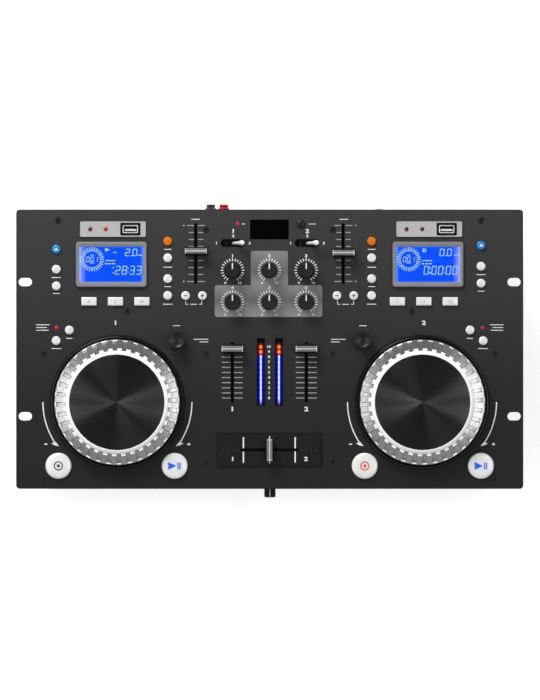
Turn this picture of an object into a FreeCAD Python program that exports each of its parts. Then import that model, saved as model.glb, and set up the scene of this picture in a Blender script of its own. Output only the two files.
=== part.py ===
"""Dual disc player and mixer for a nineteen-inch rack, as a parametric document.

Frame: X runs along the panel to the right, Y to the rear, Z up, in millimetres. The origin is
under the centre of the panel's rectangle, on the plane that the rubber feet stand on.
Words used below: a deck is one of the two players, "outer" is towards the panel's ends.
"""

import FreeCAD, Part
import math
import os
import re

import Sketcher

SIZES = {
    # Top panel, six rack units deep
    "panel_width": 482.6,
    "panel_depth": 265.9,
    "panel_thickness": 2.0,
    "panel_corner_radius": 3.5,
    "rack_slot_spacing_x": 465.1,
    "rack_slot_spacing_y": 127.7,
    "rack_slot_length": 12.6,
    "rack_slot_width": 7.8,
    # Case
    "case_width": 440.0,
    "case_height": 84.0,
    "case_inset": 1.0,
    "sheet_thickness": 1.5,
    "side_flange_width": 11.0,
    "end_flange_width": 6.0,
    "ear_width": 14.0,
    "ear_depth": 12.0,
    "seam_gap": 0.2,
    "side_tab_y": 90.0,
    "end_tab_x": 40.0,
    "post_radius": 4.0,
    "vent_width": 3.0,
    "vent_height": 30.0,
    "vent_pitch": 10.0,
    "foot_height": 6.0,
    "foot_radius": 10.0,
    "foot_taper": 1.5,
    "foot_spacing_x": 380.0,
    "foot_spacing_y": 200.0,
    # Countersunk screws
    "screw_head_radius": 3.2,
    "screw_radius": 1.5,
    "screw_length": 9.0,
    "screw_clearance": 0.15,
    "socket_radius": 1.25,
    "socket_depth": 1.2,
    "corner_screw_x": 201.4,
    "corner_screw_y": 122.1,
    "middle_screw_x": 214.6,
    "middle_screw_y": -5.05,
    "front_screw_x": 214.5,
    "front_screw_y": -124.6,
    "post_x": 60.35,
    "rear_post_y": 113.4,
    "front_post_y": -108.9,
    "drive_post_x": 135.5,
    "drive_post_y": 35.6,
    # Displays
    "display_x": 150.6,
    "display_y": 80.6,
    "bezel_width": 67.4,
    "bezel_depth": 43.0,
    "bezel_height": 3.0,
    "window_width": 60.8,
    "window_depth": 33.4,
    "window_recess": 0.6,
    "window_thickness": 1.4,
    "display_module_width": 66.0,
    "display_module_depth": 40.0,
    "display_module_height": 7.0,
    "centre_window_x": -0.3,
    "centre_window_y": 113.9,
    "centre_window_width": 36.7,
    "centre_window_depth": 18.5,
    "lens_rise": 0.3,
    "fit_gap": 0.1,
    # USB plates and sockets
    "left_usb_x": -149.1,
    "right_usb_x": 151.8,
    "usb_y": 114.2,
    "usb_plate_width": 62.5,
    "usb_plate_depth": 14.6,
    "usb_plate_thickness": 1.5,
    "usb_plate_corner_radius": 1.5,
    "usb_port_offset": 16.6,
    "usb_surround_width": 19.0,
    "usb_surround_depth": 11.8,
    "usb_surround_rise": 0.5,
    "usb_shell_width": 14.2,
    "usb_shell_depth": 7.2,
    "usb_shell_wall": 0.6,
    "usb_tongue_width": 11.1,
    "usb_tongue_thickness": 1.9,
    "usb_tongue_recess": 4.6,
    # Lights
    "light_radius": 2.0,
    "light_length": 8.0,
    "light_rise": 0.8,
    "usb_light_offset": -21.6,
    "usb_light_spacing": 14.9,
    "jog_light_x": 202.75,
    "jog_light_y": 20.3,
    "wireless_light_x": -30.2,
    "wireless_light_y": 119.1,
    # Jog wheels
    "jog_x": 144.9,
    "jog_y": -50.4,
    "jog_radius": 59.6,
    "jog_rim_wall": 2.0,
    "jog_base_gap": 1.1,
    "jog_lip_width": 3.3,
    "jog_lip_height": 3.6,
    "jog_floor_thickness": 1.6,
    "jog_float": 1.0,
    "jog_ring_top": 14.4,
    "jog_ring_inner_radius": 50.2,
    "jog_web_height": 9.0,
    "jog_web_thickness": 2.0,
    "platter_radius": 49.9,
    "platter_face_radius": 45.6,
    "platter_top": 17.0,
    "platter_bevel": 2.0,
    "rib_count": 36,
    "rib_groove_width": 3.6,
    "rib_groove_depth": 1.2,
    "rib_groove_length": 6.6,
    "jog_hub_radius": 9.0,
    "jog_hub_gap": 1.0,
    "jog_shaft_radius": 4.0,
    "jog_boss_radius": 10.0,
    "jog_boss_rise": 3.0,
    "jog_boss_depth": 16.0,
    "jog_shaft_gap": 5.0,
    "encoder_disc_radius": 17.0,
    "encoder_disc_thickness": 1.0,
    "running_gap": 0.05,
    # Round and rectangular keys
    "key_radius": 4.25,
    "key_height": 2.4,
    "key_edge": 1.1,
    "key_gap": 0.35,
    "key_travel": 0.6,
    "key_float": 0.3,
    "key_stem_radius": 1.8,
    "collar_width": 0.9,
    "collar_thickness": 1.2,
    "strip_width": 3.0,
    "key_spine_x": 197.0,
    "left_upper_key_x": 203.0,
    "right_upper_key_x": 201.1,
    "left_eject_y": 95.0,
    "right_eject_y": 98.7,
    "left_source_y": 76.0,
    "right_source_y": 78.8,
    "left_program_y": 60.1,
    "right_program_y": 62.7,
    "jog_key_x": 190.65,
    "jog_key_y": 18.15,
    "scratch_key_x": 203.15,
    "scratch_key_y": 8.0,
    "track_key_x": 97.0,
    "pitch_key_y": 102.7,
    "single_key_y": 86.8,
    "time_key_y": 67.0,
    "repeat_key_y": 51.0,
    "bend_x": 72.0,
    "bend_y": 50.9,
    "bend_spacing": 16.0,
    "loop_key_x": 146.7,
    "loop_key_y": 45.4,
    "loop_key_spacing": 25.15,
    "loop_key_width": 14.7,
    "loop_key_depth": 8.2,
    "big_key_x": 145.7,
    "big_key_y": -111.0,
    "big_key_spacing": 110.5,
    "big_key_radius": 12.35,
    "big_key_height": 3.2,
    "big_key_edge": 1.6,
    "big_key_travel": 1.0,
    "sync_x": 29.6,
    "sync_y": 119.1,
    "sync_radius": 3.6,
    # Faders
    "fader_slot_width": 3.0,
    "blade_thickness": 1.2,
    "blade_width": 4.0,
    "blade_depth": 7.0,
    "cap_float": 1.2,
    "fader_body_width": 9.0,
    "fader_body_height": 9.0,
    "fader_body_end": 3.0,
    "fader_body_wall": 1.2,
    "cap_base_depth": 8.4,
    "cap_base_height": 5.6,
    "cap_ridge_height": 5.0,
    "mixer_x": -0.35,
    "pitch_x": 70.15,
    "pitch_slot_y": 90.95,
    "pitch_slot_length": 57.9,
    "pitch_cap_width": 20.4,
    "pitch_ridge_depth": 4.9,
    "left_pitch_rest": 2.2,
    "right_pitch_rest": 0.6,
    "channel_x": 35.2,
    "channel_slot_y": -21.95,
    "channel_slot_length": 57.9,
    "channel_cap_width": 19.9,
    "channel_ridge_depth": 5.4,
    "channel_rest": 22.2,
    "crossfader_x": -0.1,
    "crossfader_y": -95.7,
    "crossfader_slot_length": 55.3,
    "crossfader_cap_depth": 19.7,
    "crossfader_ridge_width": 6.2,
    "crossfader_plate_width": 98.8,
    "crossfader_plate_depth": 30.7,
    "crossfader_plate_thickness": 1.5,
    "crossfader_plate_corner_radius": 1.0,
    "crossfader_outer_screw_x": 41.7,
    "crossfader_inner_screw_x": 32.7,
    # Meters
    "meter_x": 0.2,
    "meter_spacing": 17.25,
    "meter_y": -21.6,
    "meter_width": 7.5,
    "meter_length": 64.2,
    "meter_bar_width": 4.6,
    "meter_bar_depth": 2.3,
    "meter_bar_pitch": 4.86,
    "meter_bar_first_y": 2.3,
    "meter_bar_rise": 0.1,
    "meter_bar_count": 11,
    # Rotary controls
    "knob_x": 35.0,
    "upper_knob_y": 75.1,
    "lower_knob_y": 44.9,
    "knob_radius": 7.75,
    "knob_height": 13.6,
    "knob_wall": 1.6,
    "knob_float": 0.8,
    "knob_edge": 0.6,
    "knob_socket": 7.0,
    "knob_taper": 0.4,
    "pointer_width": 1.1,
    "pointer_length": 5.6,
    "pointer_rise": 0.2,
    "track_knob_x": 88.1,
    "track_knob_y": 8.1,
    "track_knob_radius": 8.3,
    "track_knob_height": 13.0,
    "track_knob_dish": 1.6,
    "shaft_radius": 3.0,
    "shaft_depth": 11.0,
    "bush_radius": 3.8,
    "bush_rise": 2.2,
    "control_body_width": 15.0,
    "control_body_height": 7.5,
    "phones_x": 0.2,
    "phones_drop": 24.0,
    "phones_knob_radius": 5.45,
    "phones_knob_reach": 8.9,
    "phones_bush_rise": 0.6,
    # Toggles
    "toggle_centre_x": 0.55,
    "toggle_x": 35.25,
    "toggle_y": 100.95,
    "toggle_slot_length": 24.0,
    "toggle_slot_width": 7.7,
    "toggle_pivot_depth": 3.0,
    "toggle_lean": 27.0,
    "toggle_length": 19.0,
    "toggle_root_radius": 1.5,
    "toggle_neck_radius": 1.9,
    "toggle_tip_radius": 2.5,
    "toggle_ball_radius": 2.2,
    "toggle_body_width": 15.0,
    "toggle_body_depth": 9.6,
    "toggle_body_height": 8.0,
    "toggle_body_wall": 1.4,
    # Circuit boards
    "board_drop": 12.0,
    "board_thickness": 1.6,
    "board_margin": 5.0,
    "board_gap": 1.0,
    "switch_width": 6.2,
    "switch_height": 3.4,
    "plunger_radius": 1.7,
    "plunger_rise": 0.9,
    # Disc drives
    "drive_x": 142.0,
    "drive_lift": 4.5,
    "drive_width": 136.0,
    "drive_depth": 168.0,
    "drive_height": 42.0,
    "drive_sheet": 2.0,
    "drive_setback": 3.0,
    "disc_setback": 66.0,
    "disc_gap": 0.4,
    "tray_side_gap": 2.0,
    "tray_disc_margin": 4.0,
    "tray_depth": 150.0,
    "tray_thickness": 7.0,
    "tray_lift": 19.0,
    "tray_recess": 2.2,
    "tray_well_radius": 40.3,
    "tray_well_depth": 1.2,
    "tray_slot_width": 36.0,
    "tray_bezel_overlap": 3.0,
    "tray_bezel_height": 17.0,
    "tray_bezel_thickness": 3.0,
    "tray_bezel_gap": 0.5,
    "rail_width": 5.0,
    "rail_height": 2.0,
    "rail_gap": 0.35,
    "motor_radius": 12.0,
    "motor_height": 9.0,
    "turntable_radius": 14.0,
    "turntable_thickness": 3.0,
    "turntable_drop": 1.4,
    "spindle_radius": 1.5,
    "hub_radius": 7.4,
    "hub_height": 2.0,
    "puck_radius": 13.0,
    "puck_lift": 2.2,
    "puck_thickness": 3.0,
    "puck_neck_radius": 4.0,
    "puck_cap_radius": 7.0,
    "puck_cap_thickness": 1.5,
    "bridge_width": 16.0,
    "bridge_thickness": 1.6,
    "bridge_gap": 0.8,
    "pickup_width": 48.0,
    "pickup_depth": 20.0,
    "pickup_height": 7.0,
    "pickup_drop": 1.2,
    "pickup_rest": 28.0,
    "lens_radius": 3.6,
    "lens_height": 4.0,
    "rod_radius": 1.5,
    "rod_spacing": 38.0,
    "rod_length": 98.0,
    "rod_start": 14.0,
    "rod_block": 6.0,
    # Power supply and mains inlet
    "supply_x": 128.0,
    "supply_y": 86.0,
    "supply_width": 110.0,
    "supply_depth": 66.0,
    "transformer_width": 48.0,
    "transformer_depth": 42.0,
    "transformer_height": 34.0,
    "transformer_offset": -26.0,
    "capacitor_radius": 9.0,
    "capacitor_height": 26.0,
    "capacitor_offset": 14.0,
    "heat_sink_width": 24.0,
    "heat_sink_height": 28.0,
    "heat_sink_offset": 40.0,
    "fin_thickness": 1.6,
    "fin_pitch": 4.4,
    "fin_depth": 50.0,
    "fin_count": 6,
    "inlet_x": 150.0,
    "inlet_drop": 48.0,
    "inlet_width": 24.4,
    "inlet_height": 16.6,
    "inlet_wall": 1.8,
    "inlet_depth": 19.0,
    "inlet_pin_width": 2.0,
    "inlet_pin_height": 4.0,
    "inlet_pin_length": 12.5,
    "inlet_pin_spacing": 7.0,
    "inlet_flange": 2.5,
    "rear_flange_thickness": 0.8,
    "rocker_x": 178.0,
    "rocker_width": 11.0,
    "rocker_radius": 7.0,
    "rocker_rise": 0.7,
    "rocker_gap": 0.4,
    "rocker_dish_radius": 12.0,
    "rocker_dish_depth": 1.1,
    "rocker_lean": 7.0,
    # Signal sockets
    "jack_x": 30.0,
    "jack_bore_radius": 3.2,
    "jack_bush_radius": 5.2,
    "jack_body_width": 15.0,
    "jack_body_depth": 30.0,
    "jack_bush_rise": 0.9,
    "phono_x": -50.2,
    "phono_spacing_x": 12.6,
    "phono_spacing_z": 14.0,
    "phono_drop": 22.0,
    "phono_rows": 3,
    "phono_radius": 4.15,
    "phono_bore_radius": 1.6,
    "phono_reach": 6.5,
    "phono_plate_width": 22.0,
    "phono_plate_margin": 7.0,
    "phono_plate_thickness": 2.0,
    "phono_body_depth": 10.0,
    "earth_x": 104.7,
    "earth_radius": 3.7,
    "earth_reach": 3.4,
}

SIDES = {"left": -1, "right": 1}
CORNERS = ((-1, -1), (-1, 1), (1, -1), (1, 1))

# Levels above the floor
UNDERSIDE = "(foot_height + case_height)"
TOP = f"({UNDERSIDE} + panel_thickness)"
CASE_FLOOR = "(foot_height + sheet_thickness)"
DRIVE_FLOOR = f"({CASE_FLOOR} + drive_lift)"
TRAY_BOTTOM = f"({DRIVE_FLOOR} + tray_lift)"
TRAY_TOP = f"({TRAY_BOTTOM} + tray_thickness)"
TURNTABLE_TOP = f"({TRAY_TOP} - turntable_drop)"
PUCK_BOTTOM = f"({TURNTABLE_TOP} + hub_height + puck_lift)"
BRIDGE_BOTTOM = f"({PUCK_BOTTOM} + puck_thickness + bridge_gap)"
# Levels below the panel's top face
BOARD_TOP = "(-panel_thickness - board_drop)"
SWITCH_TOP = f"({BOARD_TOP} + switch_height + plunger_rise)"
COLLAR_TOP = "(-panel_thickness - key_float)"
COLLAR_BOTTOM = f"({COLLAR_TOP} - collar_thickness)"
# Distances along Y
WALL = "(panel_depth / 2 - case_inset)"
DISC_Y = f"(disc_setback - {WALL})"
DRIVE_FRONT = f"(sheet_thickness + drive_setback - {WALL})"
DRIVE_Y = f"({DRIVE_FRONT} + drive_depth / 2)"
# Levels above the case's underside
FLANGE_LEVEL = "(case_height - sheet_thickness)"
SLOT_MIDDLE = f"({TRAY_BOTTOM} + tray_thickness / 2 - foot_height)"
SLOT_BOTTOM = f"({SLOT_MIDDLE} - tray_bezel_height / 2 - tray_bezel_gap)"
SLOT_TOP = f"({SLOT_MIDDLE} + tray_bezel_height / 2 + tray_bezel_gap)"
# Sizes that follow from others
WALL_HEIGHT = "(case_height - sheet_thickness)"
TRAY_WIDTH = "(drive_width - 2 * (drive_sheet + tray_side_gap))"
BEZEL_WIDTH = f"({TRAY_WIDTH} + 2 * tray_bezel_overlap)"
DISC_RADIUS = f"({TRAY_WIDTH} / 2 - tray_disc_margin)"
# Radii
JOG_BORE = "(jog_shaft_radius + running_gap)"
LIP_RADIUS = "(jog_radius + jog_base_gap + jog_lip_width)"
SHAFT_BORE = "(shaft_radius + running_gap)"
SCREW_HOLE = "(screw_radius + screw_clearance)"

DOC = FreeCAD.newDocument("Console")
SHEET = DOC.addObject("Spreadsheet::Sheet", "Sizes")
SUB_PARTS = []


# ---------------------------------------------------------------- document helpers


def fill_sheet():
    """Write every driving size into the sheet, one row each, under its own alias."""
    for row, (name, value) in enumerate(SIZES.items(), start=1):
        SHEET.set(f"A{row}", name)
        SHEET.set(f"B{row}", str(value))
        SHEET.setAlias(f"B{row}", name)
    DOC.recompute()


def full(text):
    """Turn the named sizes in an expression into references to the sheet."""
    def refer(found):
        word = found.group()
        return f"{SHEET.Name}.{word}" if word in SIZES else word

    return re.sub(r"[A-Za-z_]\w*", refer, str(text))


def number(text):
    """Give the present value of an expression of named sizes."""
    value = SHEET.evalExpression(full(text))
    return float(getattr(value, "Value", value))


def bind(thing, **sizes):
    """Bind properties of an object to expressions of named sizes."""
    for name, text in sizes.items():
        thing.setExpression(name, full(text))
    return thing


def place(thing, x="0", y="0", z="0"):
    """Bind the position of an object."""
    for letter, text in zip("xyz", (x, y, z)):
        if text != "0":
            thing.setExpression(f"Placement.Base.{letter}", full(text))
    return thing


def turn(thing, axis, degrees):
    """Turn an object about a line through its own origin."""
    rotation = FreeCAD.Rotation(FreeCAD.Vector(*axis), degrees)
    thing.Placement = FreeCAD.Placement(FreeCAD.Vector(), rotation)
    return thing


def finish(name, thing):
    """Make an object a sub-part: its label names its node and its file."""
    thing.Label = name
    SUB_PARTS.append(thing)
    return thing


def block(width, depth, height, x="0", y="0", z="0"):
    """Make a box that is centred on x and y and stands on z."""
    thing = bind(DOC.addObject("Part::Box", "Block"), Length=width, Width=depth, Height=height)
    return place(thing, f"{x} - ({width}) / 2", f"{y} - ({depth}) / 2", z)


def rod(radius, length, x="0", y="0", z="0", along="z"):
    """Make a cylinder that starts at a point and runs along one axis."""
    thing = bind(DOC.addObject("Part::Cylinder", "Rod"), Radius=radius, Height=length)
    if along == "y":
        turn(thing, (1, 0, 0), -90)
    if along == "x":
        turn(thing, (0, 1, 0), 90)
    return place(thing, x, y, z)


def taper(lower, upper, height, x="0", y="0", z="0"):
    """Make an upright cone with two radii."""
    thing = DOC.addObject("Part::Cone", "Taper")
    bind(thing, Radius1=lower, Radius2=upper, Height=height)
    return place(thing, x, y, z)


def ball(radius, x="0", y="0", z="0"):
    """Make a sphere."""
    return place(bind(DOC.addObject("Part::Sphere", "Ball"), Radius=radius), x, y, z)


def join(things):
    """Fuse touching shapes into one solid."""
    fused = DOC.addObject("Part::MultiFuse", "Join")
    fused.Shapes = things
    fused.Refine = True
    return fused


def bundle(things):
    """Group separate solids."""
    group = DOC.addObject("Part::Compound", "Bundle")
    group.Links = things
    return group


def wider(size):
    """Give a size with the fitting gap on both sides."""
    return f"({size} + 2 * fit_gap)"


def carve(base, tools):
    """Cut tools that don't meet each other out of a shape."""
    cut = DOC.addObject("Part::Cut", "Carve")
    cut.Base = base
    cut.Tool = tools[0] if len(tools) == 1 else bundle(tools)
    cut.Refine = True
    return cut


def new_body(name):
    """Start a body."""
    return DOC.addObject("PartDesign::Body", name)


def origin_plane(body, role):
    """Find one of a body's own origin planes."""
    return next(plane for plane in body.Origin.OriginFeatures if plane.Role == role)


class Outline:
    """A sketch on one of a body's own planes, with every coordinate bound to named sizes."""

    def __init__(self, body, name, plane="XY_Plane", level="0"):
        self.body = body
        self.sketch = body.newObject("Sketcher::SketchObject", name)
        self.sketch.AttachmentSupport = (origin_plane(body, plane), [""])
        self.sketch.MapMode = "FlatFace"
        if level != "0":
            self.sketch.setExpression("AttachmentOffset.Base.z", full(level))

    def pin(self, kind, text, *where):
        """Bind one dimension."""
        constraint = Sketcher.Constraint(kind, *where, number(text))
        index = self.sketch.addConstraint(constraint)
        self.sketch.setExpression(f"Constraints[{index}]", full(text))

    def pin_point(self, line, point, x, y):
        """Bind a point's two coordinates, or put it on an axis where one is nought."""
        for kind, text, axis in (("DistanceX", x, -2), ("DistanceY", y, -1)):
            if text == "0":
                self.sketch.addConstraint(Sketcher.Constraint("PointOnObject", line, point, axis))
            else:
                self.pin(kind, text, -1, 1, line, point)

    def polygon(self, points):
        """Draw a closed outline of straight lines through the given points."""
        corners = [FreeCAD.Vector(number(x), number(y), 0) for x, y in points]
        lines = [Part.LineSegment(a, b) for a, b in zip(corners, corners[1:] + corners[:1])]
        first = self.sketch.GeometryCount
        self.sketch.addGeometry(lines, False)
        count = len(points)
        for index, (x, y) in enumerate(points):
            line = first + index
            following = first + (index + 1) % count
            self.sketch.addConstraint(Sketcher.Constraint("Coincident", line, 2, following, 1))
            self.pin_point(line, 1, x, y)

    def rectangle(self, width, depth, x="0", y="0"):
        """Draw a rectangle about its centre."""
        near, far = f"{x} - ({width}) / 2", f"{x} + ({width}) / 2"
        low, high = f"{y} - ({depth}) / 2", f"{y} + ({depth}) / 2"
        self.polygon([(near, low), (far, low), (far, high), (near, high)])

    def circle(self, radius, x="0", y="0"):
        """Draw a circle."""
        centre = FreeCAD.Vector(number(x), number(y), 0)
        ring = Part.Circle(centre, FreeCAD.Vector(0, 0, 1), number(radius))
        index = self.sketch.addGeometry(ring, False)
        self.pin_point(index, 3, x, y)
        self.pin("Radius", radius, index)

    def slot(self, length, width, x, y, upright=False):
        """Draw a slot with round ends about its centre."""
        reach = f"(({length}) - ({width})) / 2"
        near = (x, f"{y} - {reach}") if upright else (f"{x} - {reach}", y)
        far = (x, f"{y} + {reach}") if upright else (f"{x} + {reach}", y)
        radius = number(f"({width}) / 2")
        start = math.pi if upright else math.pi / 2
        up = FreeCAD.Vector(0, 0, 1)
        ends = [FreeCAD.Vector(number(a), number(b), 0) for a, b in (near, far)]
        side = FreeCAD.Vector(math.cos(start), math.sin(start), 0) * radius
        round_ends = [
            Part.ArcOfCircle(Part.Circle(ends[0], up, radius), start, start + math.pi),
            Part.ArcOfCircle(Part.Circle(ends[1], up, radius), start + math.pi, start + 2 * math.pi),
        ]
        sides = [
            Part.LineSegment(ends[0] - side, ends[1] - side),
            Part.LineSegment(ends[1] + side, ends[0] + side),
        ]
        first = self.sketch.GeometryCount
        self.sketch.addGeometry(round_ends + sides, False)
        near_end, far_end, lower, upper = range(first, first + 4)
        for a, b in ((near_end, lower), (lower, far_end), (far_end, upper), (upper, near_end)):
            self.sketch.addConstraint(Sketcher.Constraint("Tangent", a, 2, b, 1))
        self.sketch.addConstraint(Sketcher.Constraint("Equal", near_end, far_end))
        self.pin_point(near_end, 3, *near)
        self.pin_point(far_end, 3, *far)
        self.pin("Radius", f"({width}) / 2", near_end)

    def rounded_rectangle(self, width, depth, radius):
        """Draw a rectangle with round corners about the sketch's origin."""
        half_w, half_d, r = number(width) / 2, number(depth) / 2, number(radius)
        up = FreeCAD.Vector(0, 0, 1)
        arcs = []
        for index, (x_sign, y_sign) in enumerate(((-1, -1), (1, -1), (1, 1), (-1, 1))):
            centre = FreeCAD.Vector(x_sign * (half_w - r), y_sign * (half_d - r), 0)
            start = math.pi + index * math.pi / 2
            arcs.append(Part.ArcOfCircle(Part.Circle(centre, up, r), start, start + math.pi / 2))
        lines = [
            Part.LineSegment(a.EndPoint, b.StartPoint) for a, b in zip(arcs, arcs[1:] + arcs[:1])
        ]
        first = self.sketch.GeometryCount
        self.sketch.addGeometry(arcs + lines, False)
        for index in range(4):
            arc, line, following = first + index, first + 4 + index, first + (index + 1) % 4
            self.sketch.addConstraint(Sketcher.Constraint("Tangent", arc, 2, line, 1))
            self.sketch.addConstraint(Sketcher.Constraint("Tangent", line, 2, following, 1))
            level = "Vertical" if index % 2 else "Horizontal"
            self.sketch.addConstraint(Sketcher.Constraint(level, line))
            if index:
                self.sketch.addConstraint(Sketcher.Constraint("Equal", first, arc))
        self.pin("DistanceY", f"-({depth}) / 2", -1, 1, first + 4, 1)
        self.pin("DistanceX", f"({width}) / 2", -1, 1, first + 5, 1)
        self.pin("DistanceY", f"({depth}) / 2", -1, 1, first + 6, 1)
        self.pin("DistanceX", f"-({width}) / 2", -1, 1, first + 7, 1)
        self.pin("Radius", radius, first)

    def pad(self, height):
        """Raise the outline into a solid."""
        feature = self.body.newObject("PartDesign::Pad", "Pad")
        feature.Profile = self.sketch
        bind(feature, Length=height)
        self.sketch.Visibility = False
        return feature

    def pierce(self):
        """Cut the outline right through the body."""
        feature = self.body.newObject("PartDesign::Pocket", "Pierce")
        feature.Profile = self.sketch
        feature.Type = "ThroughAll"
        feature.Midplane = True
        return feature

    def sink(self, depth):
        """Cut the outline down from its own level to a depth."""
        feature = self.body.newObject("PartDesign::Pocket", "Sink")
        feature.Profile = self.sketch
        bind(feature, Length=depth)
        return feature


def turned(name, points):
    """Turn an outline of (radius, height) points about the upright axis."""
    body = new_body(name)
    outline = Outline(body, f"{name}_outline", "XZ_Plane")
    outline.polygon(points)
    revolution = body.newObject("PartDesign::Revolution", f"{name}_turn")
    revolution.Profile = outline.sketch
    revolution.ReferenceAxis = (outline.sketch, ["V_Axis"])
    revolution.Angle = 360
    return body


# ---------------------------------------------------------------- shared positions


def panel_screws_xy():
    """Give the places of the screws that hold the panel."""
    places = []
    for sign in SIDES.values():
        places.append((f"{sign} * corner_screw_x", "corner_screw_y"))
        places.append((f"{sign} * middle_screw_x", "middle_screw_y"))
        places.append((f"{sign} * front_screw_x", "front_screw_y"))
        places.append((f"{sign} * drive_post_x", "drive_post_y"))
    return places + posts_xy()


def posts_xy():
    """Give the places of the posts that stand on the case floor."""
    rows = ("rear_post_y", "middle_screw_y", "front_post_y")
    return [(f"{sign} * post_x", y) for sign in SIDES.values() for y in rows]


def crossfader_screws_xy():
    """Give the places of the screws in the crossfader plate."""
    ends = ("crossfader_outer_screw_x", "crossfader_inner_screw_x")
    signs = SIDES.values()
    return [(f"crossfader_x + {sign} * {end}", "crossfader_y") for sign in signs for end in ends]


def mode_keys_xy(side):
    """Give the places of one deck's source, program, jog and scratch keys."""
    sign = SIDES[side]
    return [
        (f"{sign} * {side}_upper_key_x", f"{side}_source_y"),
        (f"{sign} * {side}_upper_key_x", f"{side}_program_y"),
        (f"{sign} * jog_key_x", "jog_key_y"),
        (f"{sign} * scratch_key_x", "scratch_key_y"),
    ]


def track_keys_xy(side):
    """Give the places of one deck's pitch, single, time and repeat keys."""
    rows = ("pitch_key_y", "single_key_y", "time_key_y", "repeat_key_y")
    return [(f"{SIDES[side]} * track_key_x", y) for y in rows]


def eject_xy(side):
    """Give the place of one deck's eject key."""
    return f"{SIDES[side]} * {side}_upper_key_x", f"{side}_eject_y"


def bend_xy(side, step):
    """Give the place of a bend key: step is -1 for minus and 1 for plus."""
    return f"{SIDES[side]} * bend_x + {step} * bend_spacing / 2", "bend_y"


def loop_keys_xy(side):
    """Give the places of one deck's three rectangular keys."""
    middle = f"{SIDES[side]} * loop_key_x"
    return [(f"{middle} + {step} * loop_key_spacing", "loop_key_y") for step in (-1, 0, 1)]


def big_key_xy(side, step):
    """Give the place of a big key: step is -1 for cue and 1 for play."""
    return f"{SIDES[side]} * big_key_x + {step} * big_key_spacing / 2", "big_key_y"


def small_round_keys_xy(side):
    """Give the places of one deck's keys of the small round size."""
    alone = [eject_xy(side), bend_xy(side, -1), bend_xy(side, 1)]
    return mode_keys_xy(side) + track_keys_xy(side) + alone


def big_keys_xy(side):
    """Give the places of one deck's cue and play keys."""
    return [big_key_xy(side, step) for step in (-1, 1)]


KNOBS = {
    "mic_knob": ("mixer_x - knob_x", "upper_knob_y"),
    "master_knob": ("mixer_x", "upper_knob_y"),
    "cue_level_knob": ("mixer_x + knob_x", "upper_knob_y"),
    "low_knob": ("mixer_x - knob_x", "lower_knob_y"),
    "mid_knob": ("mixer_x", "lower_knob_y"),
    "high_knob": ("mixer_x + knob_x", "lower_knob_y"),
}


def track_knob_xy(side):
    """Give the place of one deck's track knob."""
    return f"{SIDES[side]} * track_knob_x", "track_knob_y"


def rotary_controls_xy():
    """Give the places of every rotary control that comes up through the panel."""
    return list(KNOBS.values()) + [track_knob_xy(side) for side in SIDES]


def faders(side):
    """Give the place and the slot length of one side's pitch and channel faders."""
    pitch_x = f"mixer_x + {SIDES[side]} * pitch_x"
    channel_x = f"mixer_x + {SIDES[side]} * channel_x"
    return [
        (pitch_x, "pitch_slot_y", "pitch_slot_length"),
        (channel_x, "channel_slot_y", "channel_slot_length"),
    ]


def usb_port_xy(side):
    """Give the place of one deck's USB port."""
    return f"{side}_usb_x + usb_port_offset", "usb_y"


def usb_lights_xy(side):
    """Give the places of the two lights in one USB plate."""
    first = f"{side}_usb_x + usb_light_offset"
    return [(first, "usb_y"), (f"{first} + usb_light_spacing", "usb_y")]


def jog_light_xy(side):
    """Give the place of one deck's jog light."""
    return f"{SIDES[side]} * jog_light_x", "jog_light_y"


def meter_x(side):
    """Give one meter's place along X."""
    return f"meter_x + {SIDES[side]} * meter_spacing / 2"


def meter_bars_xy(side):
    """Give the places of one meter's bars."""
    rows = range(int(number("meter_bar_count")))
    return [(meter_x(side), f"meter_bar_first_y - {row} * meter_bar_pitch") for row in rows]


def toggle_x(side):
    """Give one input toggle's place along X."""
    return f"toggle_centre_x + {SIDES[side]} * toggle_x"


# ---------------------------------------------------------------- panel and case


def top_panel():
    """Build the steel plate with all its cut-outs and countersinks."""
    body = new_body("Plate")
    edge = Outline(body, "plate_edge")
    edge.rounded_rectangle("panel_width", "panel_depth", "panel_corner_radius")
    edge.pad("panel_thickness")
    rack_slots = Outline(body, "rack_slots")
    for x_sign, y_sign in CORNERS:
        x = f"{x_sign} * rack_slot_spacing_x / 2"
        y = f"{y_sign} * rack_slot_spacing_y / 2"
        rack_slots.slot("rack_slot_length", "rack_slot_width", x, y)
    rack_slots.pierce()
    for side in SIDES:
        panel_slots(body, side)
        panel_windows(body, side)
        panel_key_holes(body, side)
    middle_cut_outs(body)
    sinks = [screw_hole(x, y, "0", "panel_thickness") for x, y in panel_screws_xy()]
    finish("top_panel", place(carve(body, sinks), z=UNDERSIDE))


def panel_slots(body, side):
    """Cut one side's fader slots and its toggle's slot."""
    slots = Outline(body, f"{side}_slots")
    for x, y, length in faders(side):
        slots.slot(length, "fader_slot_width", x, y, upright=True)
    slots.slot("toggle_slot_length", "toggle_slot_width", toggle_x(side), "toggle_y")
    slots.pierce()


def panel_windows(body, side):
    """Cut one side's rectangular openings: display, USB port, loop keys and meter."""
    windows = Outline(body, f"{side}_windows")
    display_x = f"{SIDES[side]} * display_x"
    windows.rectangle(wider("window_width"), wider("window_depth"), display_x, "display_y")
    port = usb_port_xy(side)
    windows.rectangle(wider("usb_surround_width"), wider("usb_surround_depth"), *port)
    windows.rectangle(wider("meter_width"), wider("meter_length"), meter_x(side), "meter_y")
    for x, y in loop_keys_xy(side):
        windows.rectangle("loop_key_width + 2 * key_gap", "loop_key_depth + 2 * key_gap", x, y)
    windows.pierce()


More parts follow.
